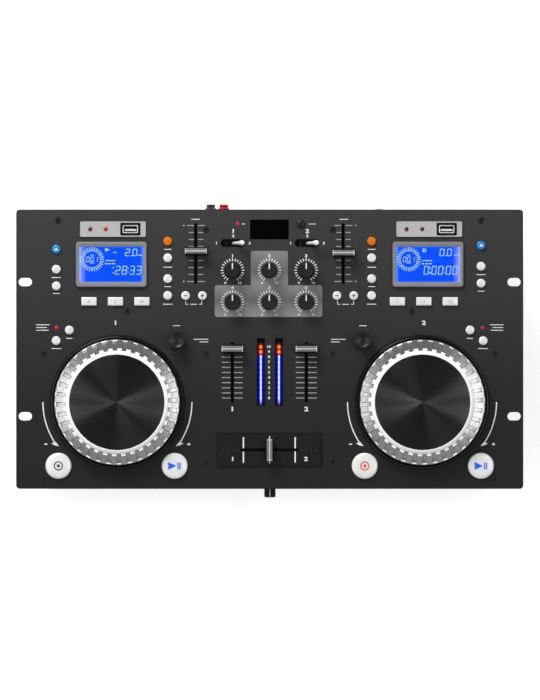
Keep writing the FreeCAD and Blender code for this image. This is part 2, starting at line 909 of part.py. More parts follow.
def panel_key_holes(body, side):
    """Cut one side's round openings: keys, track knob, lights and jog boss."""
    holes = Outline(body, f"{side}_key_holes")
    for x, y in small_round_keys_xy(side):
        holes.circle("key_radius + key_gap", x, y)
    for x, y in big_keys_xy(side):
        holes.circle("big_key_radius + key_gap", x, y)
    holes.pierce()
    others = Outline(body, f"{side}_other_holes")
    others.circle("bush_radius + fit_gap", *track_knob_xy(side))
    others.circle("jog_boss_radius + fit_gap", f"{SIDES[side]} * jog_x", "jog_y")
    for x, y in [jog_light_xy(side)] + usb_lights_xy(side):
        others.circle("light_radius + fit_gap", x, y)
    others.pierce()


def middle_cut_outs(body):
    """Cut the mixer's openings."""
    openings = Outline(body, "middle_openings")
    width, depth = wider("centre_window_width"), wider("centre_window_depth")
    openings.rectangle(width, depth, "centre_window_x", "centre_window_y")
    openings.slot("crossfader_slot_length", "fader_slot_width", "crossfader_x", "crossfader_y")
    openings.circle("light_radius + fit_gap", "wireless_light_x", "wireless_light_y")
    openings.circle("sync_radius + key_gap", "sync_x", "sync_y")
    openings.pierce()
    holes = Outline(body, "middle_holes")
    for x, y in KNOBS.values():
        holes.circle("bush_radius + fit_gap", x, y)
    for x, y in crossfader_screws_xy():
        holes.circle("screw_radius + 2 * screw_clearance", x, y)
    holes.pierce()


def screw_hole(x, y, bottom, thickness):
    """Make the cutter for a countersunk clearance hole through a plate."""
    head = "(screw_head_radius + screw_clearance)"
    depth = f"({head} - {SCREW_HOLE})"
    shank = rod(SCREW_HOLE, thickness, x, y, bottom)
    sink = taper(SCREW_HOLE, head, depth, x, y, f"{bottom} + {thickness} - {depth}")
    return join([shank, sink])


def screw(x, y, top):
    """Build a countersunk screw whose head ends at a level."""
    head_depth = "(screw_head_radius - screw_radius)"
    head = taper("screw_radius", "screw_head_radius", head_depth, z=f"-{head_depth}")
    shank = rod("screw_radius", f"screw_length - {head_depth}", z="-screw_length")
    socket = rod("socket_radius", "2 * socket_depth", z="-socket_depth")
    return place(carve(join([head, shank]), [socket]), x, y, top)


def panel_screws():
    """Build the screws of the panel and of the crossfader plate."""
    screws = [screw(x, y, "0") for x, y in panel_screws_xy()]
    screws += [screw(x, y, "crossfader_plate_thickness") for x, y in crossfader_screws_xy()]
    finish("panel_screws", place(bundle(screws), z=TOP))


def case_floor():
    """Build the floor plate and the posts that carry the panel."""
    pieces = [block("case_width", f"2 * {WALL}", "sheet_thickness")]
    bores = []
    for x, y in posts_xy():
        height = "case_height - sheet_thickness / 2"
        pieces.append(rod("post_radius", height, x, y, "sheet_thickness / 2"))
        bores.append(rod(SCREW_HOLE, "screw_length + 1", x, y, "case_height - screw_length"))
    finish("case_floor", place(carve(join(pieces), bores), z="foot_height"))


def case_walls():
    """Build the walls round the case, with flanges under the panel and tabs on the floor."""
    walls = [side_wall(sign) for sign in SIDES.values()] + front_walls()
    rear = [wall_strip(1, "sheet_thickness", "case_height"), wall_flange(1)]
    rear += wall_tabs(1) + corner_ears()
    walls.append(carve(join(rear), rear_openings()))
    finish("case_walls", place(bundle(walls), z="foot_height"))


def side_wall(sign):
    """Build one end wall of the case, with its vents, screw holes and the relief round the key."""
    depth = f"2 * {WALL}"
    x = f"{sign} * (case_width - sheet_thickness) / 2"
    flange_x = f"{sign} * (case_width - side_flange_width) / 2"
    pieces = [block("sheet_thickness", depth, WALL_HEIGHT, x, z="sheet_thickness")]
    pieces.append(block("side_flange_width", depth, "sheet_thickness", flange_x, z=FLANGE_LEVEL))
    for y_sign in SIDES.values():
        tab = ("side_flange_width", "ear_width", "sheet_thickness")
        pieces.append(block(*tab, flange_x, f"{y_sign} * side_tab_y", "sheet_thickness"))
    cutters = []
    for step in range(-3, 4):
        z = "(case_height - vent_height) / 2"
        vent = ("3 * sheet_thickness", "vent_width", "vent_height")
        cutters.append(block(*vent, x, f"{step} * vent_pitch", z))
    for place_name in ("middle", "front"):
        screw_xy = (f"{sign} * {place_name}_screw_x", f"{place_name}_screw_y")
        cutters.append(rod(SCREW_HOLE, "screw_length", *screw_xy, "case_height - screw_length"))
    radius = "big_key_radius + 2 * key_gap + collar_width"
    key_x = f"{sign} * (big_key_x + big_key_spacing / 2)"
    cutters.append(rod(radius, "2 * sheet_thickness", key_x, "big_key_y", FLANGE_LEVEL))
    return carve(join(pieces), cutters)


def wall_strip(sign, bottom, top):
    """Build a strip of the front (-1) or rear (1) wall, from side wall to side wall."""
    width = "case_width - 2 * (sheet_thickness + seam_gap)"
    y = f"{sign} * ({WALL} - sheet_thickness / 2)"
    return block(width, "sheet_thickness", f"{top} - {bottom}", "0", y, bottom)


def wall_flange(sign):
    """Build the flange of the front or rear wall, which carries the panel."""
    width = "case_width - 2 * (side_flange_width + seam_gap)"
    y = f"{sign} * ({WALL} - end_flange_width / 2)"
    return block(width, "end_flange_width", "sheet_thickness", "0", y, FLANGE_LEVEL)


def wall_tabs(sign):
    """Build the two tabs by which the front or rear wall stands on the floor."""
    tabs = []
    for x_sign in SIDES.values():
        x, y = f"{x_sign} * end_tab_x", f"{sign} * ({WALL} - ear_depth / 2)"
        tabs.append(block("ear_width", "ear_depth", "sheet_thickness", x, y, "sheet_thickness"))
    return tabs


def front_walls():
    """Build the strips over and under the tray slots and the posts between them."""
    slots = []
    middle = f"sheet_thickness / 2 - {WALL}"
    width = f"{BEZEL_WIDTH} + 2 * tray_bezel_gap"
    for sign in SIDES.values():
        slot_sizes = (width, "3 * sheet_thickness", "3 * tray_bezel_height")
        level = f"{SLOT_MIDDLE} - 1.5 * tray_bezel_height"
        slots.append(block(*slot_sizes, f"{sign} * drive_x", middle, level))
    upper = join([wall_strip(-1, SLOT_TOP, "case_height"), wall_flange(-1)])
    lower = join([wall_strip(-1, "sheet_thickness", SLOT_BOTTOM)] + wall_tabs(-1))
    posts = carve(wall_strip(-1, SLOT_BOTTOM, SLOT_TOP), slots)
    return [carve(upper, front_holes()), posts, lower]


def corner_ears():
    """Build the two ears that widen the rear flange under the panel's corner screws."""
    ears = []
    for sign in SIDES.values():
        x = f"{sign} * corner_screw_x"
        depth = f"{WALL} - corner_screw_y + ear_depth / 2"
        y = f"({WALL} + corner_screw_y - ear_depth / 2) / 2"
        ears.append(block("ear_width", depth, "sheet_thickness", x, y, FLANGE_LEVEL))
    return ears


def front_holes():
    """Make the cutters for the two jacks and the front knob."""
    slit = "3 * sheet_thickness"
    start = f"-{WALL} - sheet_thickness"
    level = "case_height - phones_drop"
    cutters = [rod("bush_radius + fit_gap", slit, "phones_x", start, level, "y")]
    for sign in SIDES.values():
        cutters.append(rod("jack_bush_radius + fit_gap", slit, f"{sign} * jack_x", start, level, "y"))
    return cutters


def rear_openings():
    """Make the cutters for the sockets, the inlet, the rocker, the earth terminal and the ears' screws."""
    slit = "3 * sheet_thickness"
    middle = f"{WALL} - sheet_thickness / 2"
    rows = "(phono_rows - 1) * phono_spacing_z"
    width = "phono_spacing_x + 2 * phono_radius"
    height = f"{rows} + 2 * phono_radius"
    bottom = f"case_height - phono_drop - {rows} - phono_radius"
    cutters = [block(width, slit, height, "phono_x", middle, bottom)]
    bottom = "case_height - inlet_drop - inlet_height / 2 - inlet_wall - fit_gap"
    width = "inlet_width + 2 * inlet_wall + 2 * fit_gap"
    height = "inlet_height + 2 * inlet_wall + 2 * fit_gap"
    cutters.append(block(width, slit, height, "inlet_x", middle, bottom))
    width = "rocker_width + 2 * rocker_gap + 2 * inlet_wall + 2 * fit_gap"
    height = "2 * rocker_radius + 2 * rocker_gap + 2 * inlet_wall + 2 * fit_gap"
    bottom = f"case_height - inlet_drop - ({height}) / 2"
    cutters.append(block(width, slit, height, "rocker_x", middle, bottom))
    earth = ("earth_x", f"{WALL} - 2 * sheet_thickness", "case_height - phono_drop", "y")
    cutters.append(rod("earth_radius / 2 + fit_gap", slit, *earth))
    for sign in SIDES.values():
        screw_xy = (f"{sign} * corner_screw_x", "corner_screw_y")
        cutters.append(rod(SCREW_HOLE, "screw_length", *screw_xy, "case_height - screw_length"))
    return cutters


def rubber_feet():
    """Build the four tapered feet."""
    feet = []
    for x_sign, y_sign in CORNERS:
        x = f"{x_sign} * foot_spacing_x / 2"
        y = f"{y_sign} * foot_spacing_y / 2"
        feet.append(taper("foot_radius - foot_taper", "foot_radius", "foot_height", x, y))
    finish("rubber_feet", bundle(feet))


# ---------------------------------------------------------------- displays, plates and lights


def display_bezels():
    """Build the raised frames round the two displays."""
    frames = []
    for sign in SIDES.values():
        frame = block("bezel_width", "bezel_depth", "bezel_height")
        opening = block("window_width", "window_depth", "3 * bezel_height", z="-bezel_height")
        frames.append(place(carve(frame, [opening]), f"{sign} * display_x", "display_y"))
    finish("display_bezels", place(bundle(frames), z=TOP))


def display_windows():
    """Build the lenses and, behind the two large ones, the display modules."""
    lenses = []
    for sign in SIDES.values():
        x = f"{sign} * display_x"
        level = "-window_recess - window_thickness"
        lenses.append(block("window_width", "window_depth", "window_thickness", x, "display_y", level))
        width, depth, height = (f"display_module_{name}" for name in ("width", "depth", "height"))
        below = "-panel_thickness - fit_gap - display_module_height"
        lenses.append(block(width, depth, height, x, "display_y", below))
    thickness = "panel_thickness + lens_rise"
    width, depth = "centre_window_width", "centre_window_depth"
    x, y = "centre_window_x", "centre_window_y"
    lenses.append(block(width, depth, thickness, x, y, "-panel_thickness"))
    for side in SIDES:
        x = meter_x(side)
        strip = block("meter_width", "meter_length", thickness, x, "meter_y", "-panel_thickness")
        slots = []
        for bar_x, bar_y in meter_bars_xy(side):
            width, depth = wider("meter_bar_width"), wider("meter_bar_depth")
            level = "-1.5 * panel_thickness"
            slots.append(block(width, depth, f"2 * ({thickness})", bar_x, bar_y, level))
        lenses.append(carve(strip, slots))
    finish("display_windows", place(bundle(lenses), z=TOP))


def usb_plates():
    """Build the two plates round the USB ports."""
    plates = []
    for side in SIDES:
        body = new_body(f"{side}_usb_plate")
        edge = Outline(body, "plate_edge")
        edge.rounded_rectangle("usb_plate_width", "usb_plate_depth", "usb_plate_corner_radius")
        edge.pad("usb_plate_thickness")
        openings = Outline(body, "plate_openings")
        width, depth = wider("usb_surround_width"), wider("usb_surround_depth")
        openings.rectangle(width, depth, "usb_port_offset", "0")
        for x in ("usb_light_offset", "usb_light_offset + usb_light_spacing"):
            openings.circle("light_radius + fit_gap", x, "0")
        openings.pierce()
        plates.append(place(body, f"{side}_usb_x", "usb_y"))
    finish("usb_plates", place(bundle(plates), z=TOP))


def usb_sockets():
    """Build each port's surround, metal shell and tongue."""
    pieces = []
    length = "(usb_plate_thickness + usb_surround_rise + panel_thickness + board_drop)"
    inner_width = "(usb_shell_width - 2 * usb_shell_wall)"
    inner_depth = "(usb_shell_depth - 2 * usb_shell_wall)"
    floor = f"({BOARD_TOP} + usb_shell_wall + 2 * fit_gap)"
    for side in SIDES:
        x, y = usb_port_xy(side)
        surround = block("usb_surround_width", "usb_surround_depth", length, x, y, BOARD_TOP)
        width, depth = wider("usb_shell_width"), wider("usb_shell_depth")
        well = block(width, depth, f"2 * {length}", x, y, f"{BOARD_TOP} + fit_gap")
        shell_height = f"{length} - 2 * fit_gap"
        level = f"{BOARD_TOP} + 2 * fit_gap"
        shell = block("usb_shell_width", "usb_shell_depth", shell_height, x, y, level)
        bore = block(inner_width, inner_depth, f"2 * {length}", x, y, floor)
        height = f"{length} - 2 * usb_shell_wall - usb_tongue_recess"
        tongue = block("usb_tongue_width", "usb_tongue_thickness", height, x, y, floor)
        pieces += [carve(surround, [well]), carve(shell, [bore]), tongue]
    finish("usb_sockets", place(bundle(pieces), z=TOP))


def crossfader_plate():
    """Build the black plate round the crossfader."""
    body = new_body("Crossfader_plate")
    edge = Outline(body, "plate_edge")
    radius = "crossfader_plate_corner_radius"
    edge.rounded_rectangle("crossfader_plate_width", "crossfader_plate_depth", radius)
    edge.pad("crossfader_plate_thickness")
    slot = Outline(body, "fader_slot")
    slot.slot("crossfader_slot_length", "fader_slot_width", "0", "0")
    slot.pierce()
    sinks = []
    for sign in SIDES.values():
        for end in ("outer", "inner"):
            x = f"{sign} * crossfader_{end}_screw_x"
            sinks.append(screw_hole(x, "0", "-1", "crossfader_plate_thickness + 1"))
    plate = place(carve(body, sinks), "crossfader_x", "crossfader_y", TOP)
    finish("crossfader_plate", plate)


def indicator_lights():
    """Build the round lights and the bars of the two meters."""
    lights = []
    length = "light_length + light_rise"
    places = [jog_light_xy(side) for side in SIDES] + [("wireless_light_x", "wireless_light_y")]
    for x, y in places:
        lights.append(rod("light_radius", length, x, y, "-light_length"))
    height = "panel_thickness + lens_rise + meter_bar_rise"
    width, depth = "meter_bar_width", "meter_bar_depth"
    for side in SIDES:
        for x, y in usb_lights_xy(side):
            longer = f"{length} + usb_plate_thickness"
            lights.append(rod("light_radius", longer, x, y, "-light_length"))
        for x, y in meter_bars_xy(side):
            lights.append(block(width, depth, height, x, y, "-panel_thickness"))
    finish("indicator_lights", place(bundle(lights), z=TOP))


# ---------------------------------------------------------------- jog wheels


def jog_bases():
    """Build the moulded bases: lip, floor and the boss that carries the shaft."""
    bases = []
    inner_lip = "(jog_radius + jog_base_gap)"
    crest = "jog_lip_width / 4"
    shoulder = "jog_boss_radius + 2"
    for side, sign in SIDES.items():
        base = turned(f"{side}_jog_base", [
            (JOG_BORE, "-jog_boss_depth"),
            ("jog_boss_radius", "-jog_boss_depth"),
            ("jog_boss_radius", "0"),
            (LIP_RADIUS, "0"),
            (LIP_RADIUS, f"jog_lip_height - {crest}"),
            (f"{LIP_RADIUS} - {crest}", "jog_lip_height"),
            (f"{inner_lip} + {crest}", "jog_lip_height"),
            (inner_lip, f"jog_lip_height - {crest}"),
            (inner_lip, "jog_floor_thickness"),
            (shoulder, "jog_floor_thickness"),
            (shoulder, "jog_boss_rise"),
            (JOG_BORE, "jog_boss_rise"),
        ])
        bases.append(place(base, f"{sign} * jog_x", "jog_y"))
    finish("jog_bases", place(bundle(bases), z=TOP))


def jog_ring(name):
    """Build the ribbed ring that the hand turns."""
    bottom = "(jog_floor_thickness + jog_float)"
    rim_inner = "(jog_radius - jog_rim_wall)"
    ring = turned(name, [
        ("jog_hub_radius + fit_gap", "jog_web_height"),
        (rim_inner, "jog_web_height"),
        (rim_inner, bottom),
        ("jog_radius", bottom),
        ("jog_radius", "jog_ring_top - 1.4"),
        ("jog_radius - 1.2", "jog_ring_top - 0.4"),
        ("jog_ring_inner_radius", "jog_ring_top"),
        ("jog_ring_inner_radius", "jog_web_height + jog_web_thickness"),
        ("jog_hub_radius + fit_gap", "jog_web_height + jog_web_thickness"),
    ])
    groove = Outline(ring, f"{name}_groove", level="jog_ring_top")
    reach = "jog_ring_inner_radius + rib_groove_length"
    start = "jog_ring_inner_radius - 1"
    groove.polygon([
        (start, "-rib_groove_width / 2"),
        (reach, "-rib_groove_width / 2"),
        (reach, "rib_groove_width / 2"),
        (start, "rib_groove_width / 2"),
    ])
    cut = groove.sink("rib_groove_depth")
    ribs = ring.newObject("PartDesign::PolarPattern", f"{name}_ribs")
    ribs.Originals = [cut]
    ribs.Axis = (groove.sketch, ["N_Axis"])
    ribs.Angle = 360
    bind(ribs, Occurrences="rib_count")
    ring.Tip = ribs
    return ring


def jog_platter(name):
    """Build the touch platter with its hub, shaft and slotted encoder disc."""
    shaft_end = "(-jog_boss_depth - jog_shaft_gap)"
    platter_bottom = "(jog_web_height + jog_web_thickness)"
    return turned(name, [
        ("0", shaft_end),
        ("encoder_disc_radius", shaft_end),
        ("encoder_disc_radius", f"{shaft_end} + encoder_disc_thickness"),
        ("jog_shaft_radius", f"{shaft_end} + encoder_disc_thickness"),
        ("jog_shaft_radius", "jog_boss_rise + jog_hub_gap"),
        ("jog_hub_radius", "jog_boss_rise + jog_hub_gap"),
        ("jog_hub_radius", platter_bottom),
        ("platter_radius", platter_bottom),
        ("platter_radius", "platter_top - platter_bevel"),
        ("platter_face_radius", "platter_top"),
        ("0", "platter_top"),
    ])


def jog_wheels():
    """Build both jog wheels, each a ring and a platter that turn as one."""
    for side, sign in SIDES.items():
        wheel = bundle([jog_ring(f"{side}_ring"), jog_platter(f"{side}_platter")])
        finish(f"{side}_jog_wheel", place(wheel, f"{sign} * jog_x", "jog_y", TOP))


# ---------------------------------------------------------------- keys


def round_key(name, radius, height, edge, travel):
    """Build a round key with its collar and stem, at the panel's top face."""
    foot = f"({SWITCH_TOP} + {travel} + key_float)"
    collar = f"({radius} + key_gap + collar_width)"
    return turned(name, [
        ("0", foot),
        ("key_stem_radius", foot),
        ("key_stem_radius", COLLAR_BOTTOM),
        (collar, COLLAR_BOTTOM),
        (collar, COLLAR_TOP),
        (radius, COLLAR_TOP),
        (radius, f"{height} - {edge}"),
        (f"{radius} - {edge}", height),
        ("0", height),
    ])


def small_key(name, x="0", y="0"):
    """Build a key of the small round size at its place."""
    return place(round_key(name, "key_radius", "key_height", "key_edge", "key_travel"), x, y)


def strip(x1, y1, x2, y2):
    """Build one straight arm of a key strip, level with the collars, along X or Y."""
    width = f"abs({x2} - ({x1})) + strip_width"
    depth = f"abs({y2} - ({y1})) + strip_width"
    x, y = f"({x1} + {x2}) / 2", f"({y1} + {y2}) / 2"
    return block(width, depth, "collar_thickness", x, y, COLLAR_BOTTOM)


def key_strips():
    """Build the strips of mode keys and of track keys, each moulded in one piece."""
    for side, sign in SIDES.items():
        spine = f"{sign} * key_spine_x"
        places = mode_keys_xy(side)
        keys = [small_key(f"{side}_mode_key", x, y) for x, y in places]
        arms = [strip(spine, y, x, y) for x, y in places]
        backbone = strip(spine, "scratch_key_y", spine, f"{side}_source_y")
        finish(f"{side}_mode_keys", place(join(keys + arms + [backbone]), z=TOP))
        places = track_keys_xy(side)
        keys = [small_key(f"{side}_track_key", x, y) for x, y in places]
        x = places[0][0]
        backbone = strip(x, "pitch_key_y", x, "repeat_key_y")
        finish(f"{side}_track_keys", place(join(keys + [backbone]), z=TOP))


def loop_keys():
    """Build the strips of three rectangular keys."""
    foot = f"({SWITCH_TOP} + key_travel + key_float)"
    for side in SIDES:
        places = loop_keys_xy(side)
        pieces = [strip(places[0][0], "loop_key_y", places[-1][0], "loop_key_y")]
        for x, y in places:
            height = f"key_height - {COLLAR_TOP}"
            cap = block("loop_key_width", "loop_key_depth", height, x, y, COLLAR_TOP)
            width = "loop_key_width + 2 * key_gap + 2 * collar_width"
            depth = "loop_key_depth + 2 * key_gap + 2 * collar_width"
            collar = block(width, depth, "collar_thickness", x, y, COLLAR_BOTTOM)
            stem = rod("key_stem_radius", f"{COLLAR_BOTTOM} - {foot}", x, y, foot)
            pieces += [cap, collar, stem]
        finish(f"{side}_loop_keys", place(join(pieces), z=TOP))


def single_keys():
    """Build the keys that move alone: eject, bend, cue, play and sync."""
    for side in SIDES:
        x, y = eject_xy(side)
        finish(f"{side}_eject_key", place(small_key(f"{side}_eject"), x, y, TOP))
        for name, step in (("minus", -1), ("plus", 1)):
            x, y = bend_xy(side, step)
            finish(f"{side}_bend_{name}_key", place(small_key(f"{side}_bend_{name}"), x, y, TOP))
        for name, step in (("cue", -1), ("play", 1)):
            x, y = big_key_xy(side, step)
            sizes = ("big_key_radius", "big_key_height", "big_key_edge", "big_key_travel")
            finish(f"{side}_{name}_key", place(round_key(f"{side}_{name}", *sizes), x, y, TOP))
    sync = round_key("Sync", "sync_radius", "key_height", "key_edge", "key_travel")
    finish("sync_key", place(sync, "sync_x", "sync_y", TOP))


# ---------------------------------------------------------------- faders


def fader_cap(width, depth, ridge_width, ridge_depth, upright):
    """Build a fader cap and its blade, at the panel's top face."""
    base = block(width, depth, "cap_base_height", z="cap_float")
    level = "cap_float + cap_base_height"
    ridge = block(ridge_width, ridge_depth, "cap_ridge_height", z=level)
    blade_sizes = ("blade_thickness", "blade_width")
    across, along = blade_sizes if upright else reversed(blade_sizes)
    length = "blade_depth + panel_thickness + cap_float + cap_base_height / 2"
    blade = block(across, along, length, z="-blade_depth - panel_thickness")
    return join([base, ridge, blade])


def fader_caps():
    """Build the two pitch caps, the two channel caps and the crossfader's cap."""
    for side, sign in SIDES.items():
        width = "pitch_cap_width"
        cap = fader_cap(width, "cap_base_depth", width, "pitch_ridge_depth", True)
        y = f"pitch_slot_y + {side}_pitch_rest"
        finish(f"{side}_pitch_fader", place(cap, f"mixer_x + {sign} * pitch_x", y, TOP))
        width = "channel_cap_width"
        cap = fader_cap(width, "cap_base_depth", width, "channel_ridge_depth", True)
        y = "channel_slot_y + channel_rest"
        finish(f"{side}_channel_fader", place(cap, f"mixer_x + {sign} * channel_x", y, TOP))
    depth = "crossfader_cap_depth"
    cap = fader_cap("cap_base_depth", depth, "crossfader_ridge_width", depth, False)
    level = f"{TOP} + crossfader_plate_thickness"
    finish("crossfader_cap", place(cap, "crossfader_x", "crossfader_y", level))


def slide_pots():
    """Build the bodies of the five slide potentiometers, hung from the panel."""
    bodies = []
    places = [(*fader, True) for side in SIDES for fader in faders(side)]
    places.append(("crossfader_x", "crossfader_y", "crossfader_slot_length", False))
    for x, y, slot_length, upright in places:
        body_size = ["fader_body_width", f"{slot_length} + 2 * fader_body_end"]
        groove_size = ["fader_slot_width", f"{slot_length} + fader_body_end"]
        if not upright:
            body_size.reverse()
            groove_size.reverse()
        body = block(*body_size, "fader_body_height", x, y, "-fader_body_height")
        level = "fader_body_wall - fader_body_height"
        groove = block(*groove_size, "2 * fader_body_height", x, y, level)
        bodies.append(carve(body, [groove]))
    return place(bundle(bodies), z="-panel_thickness")


# ---------------------------------------------------------------- rotary controls and toggles


def knob(name, radius, height, dish):
    """Build a hollow knob on its shaft; dish is how far the middle of the top is sunk."""
    inner = f"({radius} - knob_wall)"
    return turned(name, [
        ("0", "-shaft_depth"),
        ("shaft_radius", "-shaft_depth"),
        ("shaft_radius", "knob_socket"),
        (inner, "knob_socket"),
        (inner, "knob_float"),
        (radius, "knob_float"),
        (f"{radius} - knob_taper", f"{height} - knob_edge"),
        (f"{radius} - knob_taper - knob_edge", height),
        ("0", f"{height} - {dish}"),
    ])


def mixer_knobs():
    """Build the six knobs of the mixer, each with its raised pointer."""
    for name, (x, y) in KNOBS.items():
        pointer_y = "knob_radius - knob_taper - knob_edge - pointer_length / 2"
        level = "knob_height - pointer_rise"
        pointer = block("pointer_width", "pointer_length", "2 * pointer_rise", "0", pointer_y, level)
        whole = join([knob(f"{name}_turned", "knob_radius", "knob_height", "0"), pointer])
        finish(name, place(whole, x, y, TOP))


def track_knobs():
    """Build the two dished track knobs."""
    for side in SIDES:
        x, y = track_knob_xy(side)
        sizes = ("track_knob_radius", "track_knob_height", "track_knob_dish")
        finish(f"{side}_track_knob", place(knob(f"{side}_track", *sizes), x, y, TOP))


def phones_knob():
    """Build the headphone level knob, whose shaft lies along Y, with a pointer on its side."""
    reach = "(phones_knob_reach + case_inset)"
    foot = "(phones_bush_rise + knob_float)"
    body = turned("Phones", [
        ("0", "-shaft_depth"),
        ("shaft_radius", "-shaft_depth"),
        ("shaft_radius", foot),
        ("phones_knob_radius", foot),
        ("phones_knob_radius", f"{reach} - knob_edge"),
        ("phones_knob_radius - knob_edge", reach),
        ("0", reach),
    ])
    length = f"{reach} - knob_edge - {foot}"
    y = "phones_knob_radius - pointer_rise"
    pointer = block("pointer_width", "4 * pointer_rise", length, "0", y, foot)
    whole = turn(join([body, pointer]), (1, 0, 0), 90)
    finish("phones_knob", place(whole, "phones_x", f"-{WALL}", f"{UNDERSIDE} - phones_drop"))


def control_bodies():
    """Build the bodies of the faders, of the rotary controls and of the two input toggles."""
    bodies = [slide_pots()]
    for x, y in rotary_controls_xy():
        bodies.append(place(control_body(BOARD_TOP, "bush_rise"), x, y))
    bottom = "(sheet_thickness - board_drop - panel_thickness)"
    front = turn(control_body(bottom, "phones_bush_rise"), (1, 0, 0), 90)
    bodies.append(place(front, "phones_x", f"-{WALL}", "-panel_thickness - phones_drop"))
    level = "(-panel_thickness - toggle_body_height)"
    for side in SIDES:
        width, depth = "toggle_body_width", "toggle_body_depth"
        body = block(width, depth, "toggle_body_height", z=level)
        width = f"{width} - 2 * toggle_body_wall"
        depth = f"{depth} - 2 * toggle_body_wall"
        cavity = block(width, depth, "2 * toggle_body_height", z=f"{level} + toggle_body_wall")
        bodies.append(place(carve(body, [cavity]), toggle_x(side), "toggle_y"))
    finish("control_bodies", place(bundle(bodies), z=TOP))


def control_body(bottom, rise):
    """Build one rotary control's body and bush, bored for the shaft."""
    width = "control_body_width"
    case = block(width, width, "control_body_height", z=bottom)
    bush_start = f"({bottom} + control_body_height / 2)"
    bush = rod("bush_radius", f"{rise} - {bush_start}", z=bush_start)
    bore = rod(SHAFT_BORE, "2 * shaft_depth", z="-shaft_depth - key_float")
    return carve(join([case, bush]), [bore])


def source_toggles():
    """Build the two chrome levers, each leaning to the right from its pivot."""
    for side in SIDES:
        stem = taper("toggle_root_radius", "toggle_neck_radius", "toggle_length")
        tip = ball("toggle_tip_radius", z="toggle_length")
        root = ball("toggle_ball_radius")
        lever = turn(join([stem, tip, root]), (0, 1, 0), number("toggle_lean"))
        lever.setExpression("Placement.Rotation.Angle", full("toggle_lean * 1deg"))
        level = f"{UNDERSIDE} - toggle_pivot_depth"
        finish(f"{side}_source_toggle", place(lever, toggle_x(side), "toggle_y", level))


# ---------------------------------------------------------------- boards


def circuit_boards():
    """Build the boards under the panel with the key switches that stand on them."""
    pieces = []
    inner = "(post_x + post_radius + board_gap)"
    outer = "(case_width / 2 - board_margin)"
    end = f"({WALL} - board_margin - sheet_thickness)"
    deck_inner = "(pitch_x + fader_body_width / 2 + board_gap)"
    drill = ("3 * board_thickness", "-board_thickness")
    for side, sign in SIDES.items():
        x = f"{sign} * ({deck_inner} + {outer}) / 2"
        board = block(f"{outer} - {deck_inner}", f"2 * {end}", "board_thickness", x, "0")
        holes = []
        for size, x, y in (
            ("jog_boss_radius", f"{sign} * jog_x", "jog_y"),
            ("post_radius", f"{sign} * drive_post_x", "drive_post_y"),
        ):
            holes.append(rod(f"{size} + board_gap", drill[0], x, y, drill[1]))
        pieces.append(carve(board, holes))
        tab_width = f"{deck_inner} - {inner} - board_gap"
        x = f"{sign} * ({inner} + {deck_inner} - board_gap) / 2"
        pieces.append(block(tab_width, "3 * switch_width", "board_thickness", x, "bend_y"))
        keys = small_round_keys_xy(side) + big_keys_xy(side) + loop_keys_xy(side)
        pieces += [key_switch(x, y) for x, y in keys]
    pieces.append(key_switch("sync_x", "sync_y"))
    mixer_width = "2 * (post_x - post_radius - board_gap)"
    front = "(channel_slot_y - channel_slot_length / 2 - board_margin)"
    middle = f"({end} + {front}) / 2"
    pieces.append(block(mixer_width, f"{end} - {front}", "board_thickness", "0", middle))
    level = f"{UNDERSIDE} - board_drop - board_thickness"
    finish("circuit_boards", place(bundle(pieces), z=level))


def key_switch(x, y):
    """Build one key switch, standing on a board."""
    case = block("switch_width", "switch_width", "switch_height", x, y, "board_thickness")
    height = "switch_height + plunger_rise"
    return join([case, rod("plunger_radius", height, x, y, "board_thickness")])


# ---------------------------------------------------------------- disc drives


def drive_frame():
    """Build one drive's frame, rails, motor, clamp bridge and pickup rods about its centre line."""
    outer = block("drive_width", "drive_depth", "drive_height", "0", DRIVE_Y, DRIVE_FLOOR)
    inner_width = "(drive_width - 2 * drive_sheet)"
    inner_height = "drive_height - 2 * drive_sheet"
    level = f"{DRIVE_FLOOR} + drive_sheet"
    inner = block(inner_width, "drive_depth", inner_height, "0", f"{DRIVE_Y} - drive_sheet", level)
    pieces = [carve(outer, [inner])]
    for sign in SIDES.values():
        x = f"{sign} * ({inner_width} - rail_width) / 2"
        for z in (f"{TRAY_BOTTOM} - rail_gap - rail_height", f"{TRAY_TOP} + rail_gap"):
            pieces.append(block("rail_width", "drive_depth", "rail_height", x, DRIVE_Y, z))
        for x_sign in SIDES.values():
            x = f"{x_sign} * (drive_width / 2 - drive_sheet - rail_width)"
            y = f"{DRIVE_Y} + {sign} * (drive_depth / 2 - 3 * rail_width)"
            pieces.append(rod("rail_width", "drive_lift + drive_sheet / 2", x, y, CASE_FLOOR))
    bridge_length = f"{inner_width} + drive_sheet"
    bridge_sizes = (bridge_length, "bridge_width", "bridge_thickness")
    pieces.append(block(*bridge_sizes, "0", DISC_Y, BRIDGE_BOTTOM))
    frame = join(pieces)
    start = f"{BRIDGE_BOTTOM} - bridge_thickness"
    hole = rod("puck_neck_radius + bridge_gap", "3 * bridge_thickness", "0", DISC_Y, start)
    motor = rod("motor_radius", "motor_height", "0", DISC_Y, level)
    bore_start = f"{level} + drive_sheet"
    bore = rod("spindle_radius + running_gap", "2 * motor_height", "0", DISC_Y, bore_start)
    solids = [carve(frame, [hole]), carve(motor, [bore])]
    rod_z = f"({TRAY_BOTTOM} - pickup_drop - pickup_height / 2)"
    for sign in SIDES.values():
        x = f"{sign} * rod_spacing / 2"
        y = f"{DISC_Y} - rod_start"
        slide = rod("rod_radius", "rod_length", x, y, rod_z, "y")
        holders = []
        for end in (f"{y} + rod_block / 2", f"{y} + rod_length - rod_block / 2"):
            height = f"{rod_z} + 2 * rod_radius - ({level})"
            holders.append(block("rod_block", "rod_block", height, x, end, level))
        solids.append(join([slide] + holders))
    return solids


